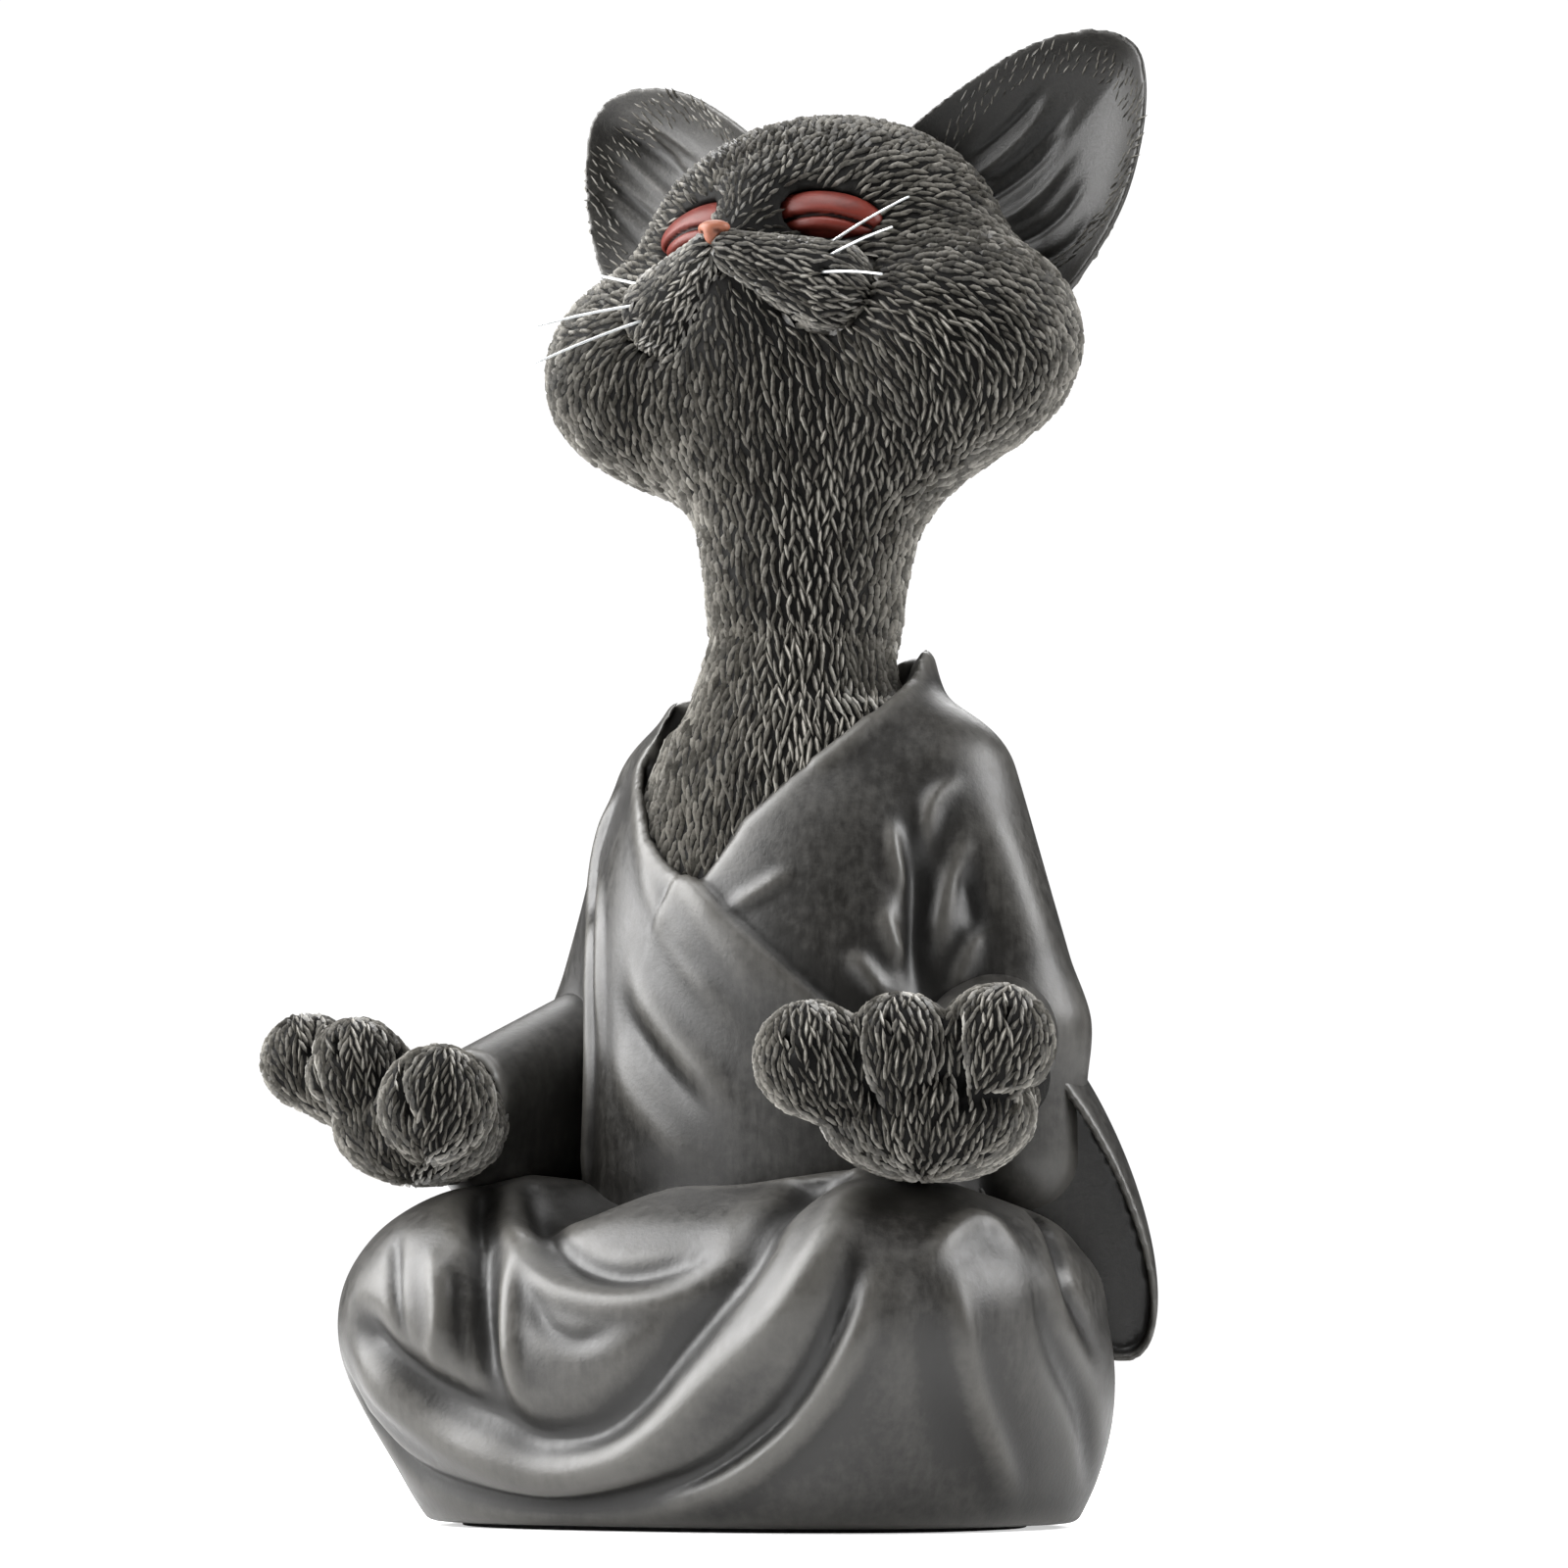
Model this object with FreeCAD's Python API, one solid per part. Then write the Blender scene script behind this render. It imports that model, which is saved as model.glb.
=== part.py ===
"""Seated cat figurine in a wrapped robe: hollow castings luted together, with set-in nylon whiskers and a felt base.

The cat sits cross-legged with its paws, palm up, on its knees and its face lifted. +X is the cat's left, -Y its front
and +Z up. The origin is the centre of the resting face. Millimetres throughout.
"""
import FreeCAD
import Part
import math
import os

from FreeCAD import Vector

# --- lap: the robe over the crossed legs ---------------------------------------------------------------
LAP_WIDTH = 148.0
LAP_DEPTH = 114.0
LAP_HEIGHT = 66.0
KNEE_SPREAD = 39.0          # knee centre from the middle plane
KNEE_FORWARD = 16.0         # knee centre in front of the lap's centre
KNEE_RADIUS = 31.0

# --- torso ---------------------------------------------------------------------------------------------
TORSO_WIDTH = 118.0         # over both upper arms
TORSO_DEPTH = 72.0
TORSO_HEIGHT = 104.0        # lap top to collar
TORSO_BACK = 28.0           # torso axis behind the lap's centre
NECKLINE_DROP = 44.0        # collar to the point of the V
NECKLINE_OFFSET = 5.0       # point of the V to the cat's right of the middle plane
CHEST_INSET = 3.0           # furred chest below the robe's surface, inside the V

# --- neck and head -------------------------------------------------------------------------------------
NECK_DIAMETER = 38.0
NECK_LENGTH = 18.0          # collar to the underside of the jaw
NECK_SEAT = 8.0             # depth to which the full width of the neck sinks into the collar
SPIGOT_DIAMETER = 36.0      # foot of the neck, set into the robe below its seat
SPIGOT_LENGTH = 34.0
COLLAR_RING = 16.0          # solid height of the collar round the neck's foot
HEAD_WIDTH = 117.0
HEAD_DEPTH = 63.0
HEAD_HEIGHT = 92.0

# --- face ----------------------------------------------------------------------------------------------
PAD_LENGTH = 36.0           # whisker pad, along its own axis
PAD_HEIGHT = 18.0
PAD_DEPTH = 21.0
EYE_WIDTH = 24.0
EYE_HEIGHT = 9.0
EYE_DEPTH = 8.0
NOSE_WIDTH = 8.5
NOSE_HEIGHT = 5.0
WHISKER_DIAMETER = 0.8
WHISKER_LENGTH = 20.0       # free length outside the pad
WHISKER_SET = 4.0           # length inside its hole
WHISKER_SWEEP = 120.0       # radius of the free length's curve

# --- ears ----------------------------------------------------------------------------------------------
EAR_WIDTH = 50.0
EAR_LENGTH = 45.0           # root to tip
EAR_THICKNESS = 22.0        # across the cupped ear
EAR_WALL = 4.0

# --- arms and paws -------------------------------------------------------------------------------------
SLEEVE_DROP = 62.0          # top of the sleeve's mouth to its hanging point
SLEEVE_FULLNESS = 26.0      # width of the mouth
SLEEVE_LENGTH = 48.0        # mouth to the closed back of the elbow
SLEEVE_SPLAY = 12.0         # how far the hanging point stands outside the mouth's top
SLEEVE_RAKE = 30.0          # how far the hanging point lies behind the mouth's top
SLEEVE_WALL = 3.0
SLEEVE_MOUTH_FORWARD = 7.0  # top of the mouth in front of the lap's centre
SLEEVE_MOUTH_DEPTH = 20.0
WRIST_INSIDE = 4.0          # middle of the wrist inside the torso's widest line
PAW_OUTSIDE = 1.5           # middle of the paw outside the wrist
FOREARM_RADIUS = 9.5
TOE_RADIUS = 12.5
TOE_PITCH = 16.0            # between neighbouring toes
PALM_WIDTH = 50.0
PALM_DEPTH = 42.0
PALM_HEIGHT = 28.0
PALM_LIFT = 12.0            # underside of the palm above the top of the lap, before it is trimmed to the knee

# --- casting and base ----------------------------------------------------------------------------------
WALL = 5.0
FLOOR = 6.0
POUR_HOLE_DIAMETER = 26.0
FELT_THICKNESS = 1.2
FELT_INSET = 4.0
JOINT_GAP = 0.25            # clearance of the neck's foot in the collar
GLUE_GAP = 0.1              # round a whisker in its hole

# --- worked out from the sizes above -------------------------------------------------------------------
COLLAR_Z = LAP_HEIGHT + TORSO_HEIGHT
JAW_Z = COLLAR_Z + NECK_LENGTH
HEAD_Y = TORSO_BACK + 2.0
SPIGOT_FOOT_Z = COLLAR_Z - SPIGOT_LENGTH
WRIST_X = TORSO_WIDTH / 2 - WRIST_INSIDE
SLEEVE_TOP_Z = COLLAR_Z - 0.70 * TORSO_HEIGHT
PAW_X = WRIST_X + PAW_OUTSIDE
PAW_Y = -KNEE_FORWARD - 12.0
RING_POINTS = 24


def oval(angle, squareness):
    """Cosine and sine of an angle, pushed out towards a square."""
    c, s = math.cos(angle), math.sin(angle)
    return math.copysign(abs(c) ** (2 / squareness), c), math.copysign(abs(s) ** (2 / squareness), s)


def ring(z, half_width, front, back, squareness=2.0):
    """Control points of a level superellipse at height z, from y = front to y = back."""
    points = []
    for i in range(RING_POINTS):
        c, s = oval(2 * math.pi * i / RING_POINTS, squareness)
        points.append(Vector(half_width * c, (front + back) / 2 + (back - front) / 2 * s, z))
    return points


def skin(rings):
    """A solid under a smooth surface drawn over rings of control points, with flat ends."""
    count, last = len(rings), len(rings) - 3
    surface = Part.BSplineSurface()
    surface.buildFromPolesMultsKnots(
        [[r[i] for r in rings] for i in range(RING_POINTS)],
        [1] * (RING_POINTS + 1), [4] + [1] * (count - 4) + [4],
        list(range(RING_POINTS + 1)), list(range(last + 1)), True, False, 3, 3,
    )
    ends = [Part.Face(Part.Wire([surface.vIso(v).toShape()])) for v in (0, last)]
    shell = Part.makeShell([surface.toShape()] + ends)
    shell.sewShape()
    solid = Part.Solid(shell)
    if solid.Volume < 0:
        solid.reverse()
    return solid


def ellipsoid(centre, radii, axes=None):
    """A solid ellipsoid. axes are the unit directions of its three radii, the frame's own if left out."""
    across, along, up = axes or (Vector(1, 0, 0), Vector(0, 1, 0), Vector(0, 0, 1))
    a, b, c = radii
    stretch = FreeCAD.Matrix(
        across.x * a, along.x * b, up.x * c, centre.x,
        across.y * a, along.y * b, up.y * c, centre.y,
        across.z * a, along.z * b, up.z * c, centre.z,
        0, 0, 0, 1,
    )
    return Part.makeSphere(1.0).transformGeometry(stretch)


def mirrored(shape):
    """The other side's copy, across the middle plane."""
    return shape.mirror(Vector(0, 0, 0), Vector(1, 0, 0))


def one_solid(shape):
    """The largest solid of a cut or fused shape."""
    return max(shape.Solids, key=lambda s: s.Volume)


# --- lap and torso -------------------------------------------------------------------------------------
# Share of the lap's height, then of its width and depth: tucked in at the foot, fullest below the middle.
LAP_SHAPE = ((0.0, 0.87, 0.90), (0.08, 0.93, 0.95), (0.25, 1.01, 1.0), (0.5, 1.03, 1.03), (0.75, 0.98, 0.98),
             (0.92, 0.82, 0.84), (0.94, 0.60, 0.62))
# Share from the lap's middle to the collar, then of the torso's width and depth: elbows, shoulders, collar.
TORSO_SHAPE = ((0.0, 0.80, 1.04), (0.15, 0.86, 1.05), (0.35, 0.98, 1.04), (0.52, 1.0, 1.0), (0.68, 0.91, 0.94),
               (0.80, 0.80, 0.86), (0.90, 0.61, 0.76), (0.96, 0.47, 0.68), (1.0, 0.40, 0.64))


def lap_rings(inset, bottom):
    """The lap's rings from the bottom up, taken in by inset."""
    rings = []
    for height, width, depth in LAP_SHAPE:
        half_depth = LAP_DEPTH / 2 * depth - inset
        z = bottom + (LAP_HEIGHT - inset - bottom) * height
        rings.append(ring(z, LAP_WIDTH / 2 * width - inset, -half_depth, half_depth, 2.4))
    return rings


def torso_rings(inset, top=COLLAR_Z):
    """The torso's rings from inside the lap up to a top height, taken in by inset."""
    foot = LAP_HEIGHT / 2
    rings = []
    for height, width, depth in TORSO_SHAPE:
        half_depth = TORSO_DEPTH / 2 * depth - inset
        rings.append(ring(foot + (top - foot) * height, TORSO_WIDTH / 2 * width - inset,
                          TORSO_BACK - half_depth, TORSO_BACK + half_depth, 2.15))
    return rings


def knee(side, inset):
    """One knee, taken in by inset."""
    radii = (KNEE_RADIUS - inset, 1.2 * KNEE_RADIUS - inset, KNEE_RADIUS - inset)
    return ellipsoid(Vector(side * KNEE_SPREAD, -KNEE_FORWARD, LAP_HEIGHT - KNEE_RADIUS + 1.0), radii)


def neckline(clearance):
    """The V of the robe's opening: a wedge through the front of the torso, taken in by clearance."""
    half = NECK_DIAMETER / 2
    outline = [
        Vector(-NECKLINE_OFFSET, HEAD_Y, COLLAR_Z - NECKLINE_DROP + 1.4 * clearance),
        Vector(half - clearance, HEAD_Y, COLLAR_Z - 4.0),
        Vector(half - clearance, HEAD_Y, JAW_Z),
        Vector(-half + clearance, HEAD_Y, JAW_Z),
        Vector(-half + clearance, HEAD_Y, COLLAR_Z - 0.4 * NECKLINE_DROP),
    ]
    return Part.Face(Part.makePolygon(outline + outline[:1])).extrude(Vector(0, -TORSO_DEPTH, 0))


def robe_outside():
    """The robe as one filled solid, the shape that everything luted to it is trimmed by."""
    lap = skin(lap_rings(0.0, FELT_THICKNESS))
    return one_solid(lap.fuse([knee(1, 0.0), knee(-1, 0.0), skin(torso_rings(0.0))]))


def socket():
    """The stepped round space in the collar for the foot and the seat of the neck."""
    foot = Part.makeCylinder(SPIGOT_DIAMETER / 2 + JOINT_GAP, SPIGOT_LENGTH,
                             Vector(0, HEAD_Y, SPIGOT_FOOT_Z - JOINT_GAP))
    seat = Part.makeCylinder(NECK_DIAMETER / 2 + JOINT_GAP, NECK_LENGTH + NECK_SEAT,
                             Vector(0, HEAD_Y, COLLAR_Z - NECK_SEAT - JOINT_GAP))
    return foot.fuse([seat])


def robe_body(outside):
    """The hollow robe casting, open at the neckline and poured through a hole in its floor."""
    hollow = skin(lap_rings(WALL, FELT_THICKNESS + FLOOR)).fuse([skin(torso_rings(WALL, COLLAR_Z - COLLAR_RING))])
    pour_hole = Part.makeCylinder(POUR_HOLE_DIAMETER / 2, 2 * FLOOR + FELT_THICKNESS)
    return one_solid(outside.cut([hollow, socket(), neckline(0.0), pour_hole]))


def base_felt():
    """The felt sheet glued under the robe, which hides the pour hole and is what the figurine rests on."""
    half_width = LAP_SHAPE[0][1] * LAP_WIDTH / 2 - FELT_INSET
    half_depth = LAP_SHAPE[0][2] * LAP_DEPTH / 2 - FELT_INSET
    outline = Part.BSplineCurve()
    outline.interpolate(ring(0.0, half_width, -half_depth, half_depth, 2.4), PeriodicFlag=True)
    return Part.Face(Part.Wire([outline.toShape()])).extrude(Vector(0, 0, FELT_THICKNESS))


# --- neck and head -------------------------------------------------------------------------------------
# Share of the head's height, then of its half width, front and back: slim jaw, full cheeks, small crown.
HEAD_SHAPE = (
    (0.0, 0.34, 0.62, 0.62), (0.08, 0.44, 0.66, 0.68), (0.17, 0.62, 0.74, 0.78), (0.28, 0.86, 0.84, 0.90),
    (0.39, 1.01, 0.92, 1.0), (0.50, 1.05, 0.97, 1.04), (0.62, 0.97, 0.97, 1.02), (0.76, 0.76, 0.84, 0.96),
    (0.89, 0.58, 0.62, 0.86), (0.97, 0.46, 0.36, 0.70), (0.99, 0.20, 0.04, 0.42),
)


def head_rings(inset):
    """The neck's and head's rings above the collar, taken in by inset."""
    neck = NECK_DIAMETER / 2 - inset
    half_depth = HEAD_DEPTH / 2
    rings = [ring(z, neck, HEAD_Y - neck, HEAD_Y + neck)
             for z in (COLLAR_Z - NECK_SEAT, COLLAR_Z - 0.3 * NECK_SEAT, COLLAR_Z + 0.4 * NECK_LENGTH)]
    for height, width, front, back in HEAD_SHAPE:
        top_inset = inset if height > 0.9 else 0.0
        rings.append(ring(JAW_Z + HEAD_HEIGHT * height - top_inset, HEAD_WIDTH / 2 * width - inset,
                          HEAD_Y - half_depth * front + inset, HEAD_Y + half_depth * back - inset))
    return rings


def chest():
    """The furred chest that fills the robe's V, just below its surface."""
    filled = skin(torso_rings(CHEST_INSET)).common(neckline(JOINT_GAP))
    return one_solid(filled)


def neck_foot():
    """The round foot of the neck, which stands in the collar."""
    return Part.makeCylinder(SPIGOT_DIAMETER / 2, SPIGOT_LENGTH + 0.5 * NECK_LENGTH, Vector(0, HEAD_Y, SPIGOT_FOOT_Z))


def head_and_neck(outside, eyes):
    """The hollow head casting with its neck, foot and chest, and sockets for the eyes."""
    bore = Part.makeCylinder(SPIGOT_DIAMETER / 2 - WALL, SPIGOT_LENGTH + NECK_LENGTH, Vector(0, HEAD_Y, SPIGOT_FOOT_Z))
    solid = one_solid(outside.fuse([neck_foot(), chest()]))
    return one_solid(solid.cut([skin(head_rings(WALL)), bore] + eyes))


def face_frame(centre, along, out):
    """A centre with three square unit directions: along, up and out of the face."""
    along.normalize()
    out = out - along * out.dot(along)
    out.normalize()
    up = out.cross(along)
    return centre, along, up if up.z > 0 else up * -1, out


def eye(side):
    """A closed eye, a smooth almond set into the face."""
    centre = Vector(side * 0.34 * HEAD_WIDTH / 2, HEAD_Y - 0.70 * HEAD_DEPTH / 2, JAW_Z + 0.745 * HEAD_HEIGHT)
    centre, along, up, out = face_frame(centre, Vector(side * 0.9, 0.45, 0), Vector(side * 0.4, -0.72, 0.55))
    return ellipsoid(centre, (EYE_WIDTH / 2, EYE_HEIGHT / 2, EYE_DEPTH / 2), (along, up, out))


def pad_frame(side):
    """Centre of a whisker pad and its directions along, up and out."""
    centre = Vector(side * 0.46 * PAD_LENGTH, HEAD_Y - 0.86 * HEAD_DEPTH / 2, JAW_Z + 0.60 * HEAD_HEIGHT)
    return face_frame(centre, Vector(side * 0.86, 0.42, -0.28), Vector(side * 0.40, -0.90, 0.10))


def whisker_pad(side):
    """A plump half of the muzzle, before it is trimmed to the head."""
    centre, along, up, out = pad_frame(side)
    return ellipsoid(centre, (PAD_LENGTH / 2, PAD_HEIGHT / 2, PAD_DEPTH / 2), (along, up, out))


def nose():
    """The nose leather: a small rounded wedge between the pads."""
    centre = Vector(0, HEAD_Y - 1.14 * HEAD_DEPTH / 2, JAW_Z + 0.70 * HEAD_HEIGHT)
    return ellipsoid(centre, (NOSE_WIDTH / 2, 0.9 * NOSE_HEIGHT, NOSE_HEIGHT / 2))


# Share along the pad, share up the pad, and the upward lean of the whisker, from the top one down.
WHISKERS = {"upper": (0.34, 0.42, 0.46), "middle": (0.42, 0.05, 0.22), "lower": (0.36, -0.36, -0.02)}


def whisker_line(side, name):
    """Root point on the pad's surface and the direction in which a whisker leaves it."""
    centre, along, up, out = pad_frame(side)
    forward, high, lean = WHISKERS[name]
    outward = math.sqrt(1.0 - forward ** 2 - high ** 2)
    root = centre + along * (forward * PAD_LENGTH / 2) + up * (high * PAD_HEIGHT / 2) \
        + out * (outward * PAD_DEPTH / 2)
    direction = along * 0.80 + out * 0.52 + Vector(0, 0, lean)
    direction.normalize()
    return root, direction


def whisker(side, name):
    """A nylon bristle: straight where it is set in its hole, then one long even curve."""
    root, direction = whisker_line(side, name)
    start = root - direction * WHISKER_SET
    sideways = direction.cross(Vector(0, 0, 1))
    sideways.normalize()
    bow = sideways.cross(direction) * WHISKER_SWEEP
    turn = WHISKER_LENGTH / WHISKER_SWEEP

    def at(angle):
        return root + direction * (WHISKER_SWEEP * math.sin(angle)) - bow * (1 - math.cos(angle))

    path = Part.Wire([Part.LineSegment(start, root).toShape(), Part.Arc(root, at(turn / 2), at(turn)).toShape()])
    section = Part.Wire([Part.Circle(start, direction, WHISKER_DIAMETER / 2).toShape()])
    return path.makePipeShell([section], True, True)


def whisker_hole(side, name):
    """The drilled hole a whisker is glued in."""
    root, direction = whisker_line(side, name)
    return Part.makeCylinder(WHISKER_DIAMETER / 2 + GLUE_GAP, WHISKER_SET + PAD_DEPTH / 2,
                             root - direction * WHISKER_SET, direction)


def ear(side, head):
    """A cupped ear with a rounded tip, trimmed to the head."""
    root = Vector(side * 0.615 * HEAD_WIDTH / 2, HEAD_Y + 0.28 * HEAD_DEPTH / 2, JAW_Z + 0.79 * HEAD_HEIGHT)
    up = Vector(side * 0.60, 0.31, 0.74)
    up.normalize()
    across = Vector(side * 0.73, 0.11, -0.68)
    across = across - up * across.dot(up)
    across.normalize()
    facing = up.cross(across) * side
    axes = (across, up, facing)
    blank = ellipsoid(root, (EAR_WIDTH / 2, EAR_LENGTH, EAR_THICKNESS / 2), axes)
    cup = ellipsoid(root - facing * (EAR_THICKNESS / 2),
                    (EAR_WIDTH / 2 - EAR_WALL, EAR_LENGTH - EAR_WALL, EAR_THICKNESS - EAR_WALL), axes)
    front = Part.makeBox(4 * EAR_WIDTH, 4 * EAR_LENGTH, 2 * EAR_THICKNESS,
                         Vector(-2 * EAR_WIDTH, -2 * EAR_LENGTH, -2.3 * EAR_THICKNESS))
    front.transformShape(FreeCAD.Matrix(
        across.x, up.x, facing.x, root.x,
        across.y, up.y, facing.y, root.y,
        across.z, up.z, facing.z, root.z,
        0, 0, 0, 1,
    ))
    return one_solid(blank.cut([cup, front, head]))


# --- arms ----------------------------------------------------------------------------------------------
# Share of the sleeve's length from its mouth, its top's rise and inward shift, then shares of drop and fullness.
SLEEVE_SHAPE = ((0.0, 0.0, 0.0, 1.0, 1.0), (0.10, 1.5, 0.0, 1.0, 1.06), (0.40, 5.0, 1.0, 0.95, 1.16),
                (0.70, 8.0, 5.0, 0.82, 1.10), (0.95, 6.0, 10.0, 0.62, 0.9), (1.0, 0.0, 14.0, 0.38, 0.5))


def sleeve_rings(inset, length, rows):
    """Rings of the hanging sleeve from its mouth back, taken in by inset."""
    rings = []
    for share, rise, inward, drop, full in rows:
        points = []
        for i in range(RING_POINTS):
            c, s = oval(2 * math.pi * i / RING_POINTS, 2.2)
            down = (1 - s) / 2
            points.append(Vector(
                WRIST_X - inward + SLEEVE_SPLAY * drop * down + (SLEEVE_FULLNESS / 2 * full - inset) * c,
                length * share - SLEEVE_MOUTH_FORWARD + SLEEVE_RAKE * down * (1 - 0.7 * share),
                SLEEVE_TOP_Z + rise - inset - (SLEEVE_DROP * drop - 2 * inset) * down,
            ))
        rings.append(points)
    return rings


def sleeve(robe):
    """The left sleeve hanging from the elbow, with its mouth hollowed, trimmed to the robe."""
    bag = skin(sleeve_rings(0.0, SLEEVE_LENGTH, SLEEVE_SHAPE))
    hollow = skin(sleeve_rings(SLEEVE_WALL, SLEEVE_MOUTH_DEPTH, SLEEVE_SHAPE))
    hollow.translate(Vector(0, -0.5, 0))
    return one_solid(bag.cut([hollow, robe]))


def paw(robe, cuff):
    """The left paw, palm up on the knee: palm, three curled toes and a forearm that enters the sleeve."""
    bottom = LAP_HEIGHT - PALM_LIFT
    top = bottom + PALM_LIFT + PALM_HEIGHT
    rings = []
    for height, spread in ((0.0, 0.5), (0.15, 0.72), (0.4, 0.96), (0.65, 1.06), (0.85, 1.0), (0.9, 0.72)):
        z = bottom + (top - bottom) * height
        half_depth = PALM_DEPTH / 2 * spread
        rings.append([p + Vector(PAW_X - 2.0, 0, 0) for p in
                      ring(z, PALM_WIDTH / 2 * spread, PAW_Y + 9.0 - half_depth, PAW_Y + 9.0 + half_depth)])
    toes = []
    for place, back in ((-1, -3.0), (0, -1.0), (1, 6.0)):
        centre = Vector(PAW_X + place * TOE_PITCH, PAW_Y + back, LAP_HEIGHT + PALM_HEIGHT - 5.5)
        toes.append(ellipsoid(centre, (0.94 * TOE_RADIUS, 1.05 * TOE_RADIUS, TOE_RADIUS)))
    start = Vector(PAW_X, PAW_Y + 12.0, LAP_HEIGHT + 0.5 * PALM_HEIGHT)
    end = Vector(WRIST_X, 0.75 * SLEEVE_MOUTH_DEPTH - SLEEVE_MOUTH_FORWARD, SLEEVE_TOP_Z - SLEEVE_WALL - FOREARM_RADIUS)
    run = end - start
    forearm = Part.makeCone(FOREARM_RADIUS + 1.5, FOREARM_RADIUS - 1.0, run.Length, start, run)
    return one_solid(skin(rings).fuse(toes + [forearm]).cut([robe, cuff]))


def export(name, shape):
    """Writes one node and prints what it is."""
    shape.exportStep(os.path.join("parts", name + ".step"))
    print(f"{name:22s} solids {len(shape.Solids)} valid {shape.isValid()} volume {shape.Volume / 1000:8.2f} cm3")


def build():
    """Makes every node in the order in which the figurine is put together."""
    os.makedirs("parts", exist_ok=True)
    robe = robe_outside()
    head = skin(head_rings(0.0))
    eyes = [eye(1), eye(-1)]

    left_ear = ear(1, head)
    half = Part.makeBox(HEAD_WIDTH, 2 * HEAD_DEPTH, 2 * HEAD_HEIGHT, Vector(0, HEAD_Y - 1.5 * HEAD_DEPTH, JAW_Z))
    left_pad = whisker_pad(1).cut([head, eyes[0]] + [whisker_hole(1, name) for name in WHISKERS])
    left_pad = one_solid(left_pad.common(half))
    left_sleeve = sleeve(robe)
    left_paw = paw(robe, left_sleeve)

    export("robe_body", robe_body(robe))
    export("base_felt", base_felt())
    export("head_and_neck", head_and_neck(head, eyes))
    export("nose", one_solid(nose().cut([head, whisker_pad(1), whisker_pad(-1)])))
    for name, shape in (("ear", left_ear), ("eye", eyes[0]), ("whisker_pad", left_pad),
                        ("sleeve", left_sleeve), ("paw", left_paw)):
        export("left_" + name, shape)
        export("right_" + name, mirrored(shape))
    for name in WHISKERS:
        export(f"left_{name}_whisker", whisker(1, name))
        export(f"right_{name}_whisker", whisker(-1, name))


build()
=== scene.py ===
"""Seated cat figurine in a wrapped robe: modelled clay forms, laid fur, painted finishes and set-in whiskers.

Forms are modelled in millimetres as blocks of clay, dressed with folds and fur, and turned into meshes in
metres. +X is the cat's left, -Y its front and +Z up. "Left" and "right" are the cat's own.
"""
from __future__ import annotations

import logging
import math
from dataclasses import dataclass, field
from enum import Enum

import bpy
import numpy as np
import openvdb
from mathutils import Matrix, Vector


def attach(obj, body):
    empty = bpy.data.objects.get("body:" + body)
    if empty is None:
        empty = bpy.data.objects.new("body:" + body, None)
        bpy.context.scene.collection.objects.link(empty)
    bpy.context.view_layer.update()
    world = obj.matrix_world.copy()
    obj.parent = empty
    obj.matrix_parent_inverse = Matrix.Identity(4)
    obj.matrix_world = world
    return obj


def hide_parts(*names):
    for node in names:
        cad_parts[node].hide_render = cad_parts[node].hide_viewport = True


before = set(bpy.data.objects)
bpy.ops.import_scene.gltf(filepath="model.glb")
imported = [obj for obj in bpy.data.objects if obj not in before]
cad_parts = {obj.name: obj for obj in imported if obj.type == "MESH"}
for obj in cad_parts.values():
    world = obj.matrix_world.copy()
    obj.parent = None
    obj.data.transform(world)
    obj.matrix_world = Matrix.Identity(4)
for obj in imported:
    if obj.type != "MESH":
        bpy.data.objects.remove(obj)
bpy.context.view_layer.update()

MM = 0.001
ROOT = "root"
LOG = logging.getLogger("figurine")
TINY = 1e-9
SIDES = {1: "left", -1: "right"}

Point = tuple[float, float, float]
Colour = tuple[float, float, float]
Outline = tuple[tuple[float, float], ...]


# --- clay --------------------------------------------------------------------------------------------------
def unit(vector: np.ndarray) -> np.ndarray:
    """A vector, or each row of a table of vectors, at length 1."""
    return vector / np.maximum(np.linalg.norm(vector, axis=-1, keepdims=True), TINY)


def smooth_join(a: np.ndarray, b: np.ndarray, blend: float) -> np.ndarray:
    """The union of two distance fields, with a fillet.

    Args:
        a: distances to the first form.
        b: distances to the second form.
        blend: the fillet's reach in millimetres, 0 for a sharp seam.

    Returns:
        Distances to both forms together.
    """
    if blend <= 0:
        return np.minimum(a, b)
    share = np.clip(0.5 + 0.5 * (b - a) / blend, 0.0, 1.0)
    return b + (a - b) * share - blend * share * (1.0 - share)


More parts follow.
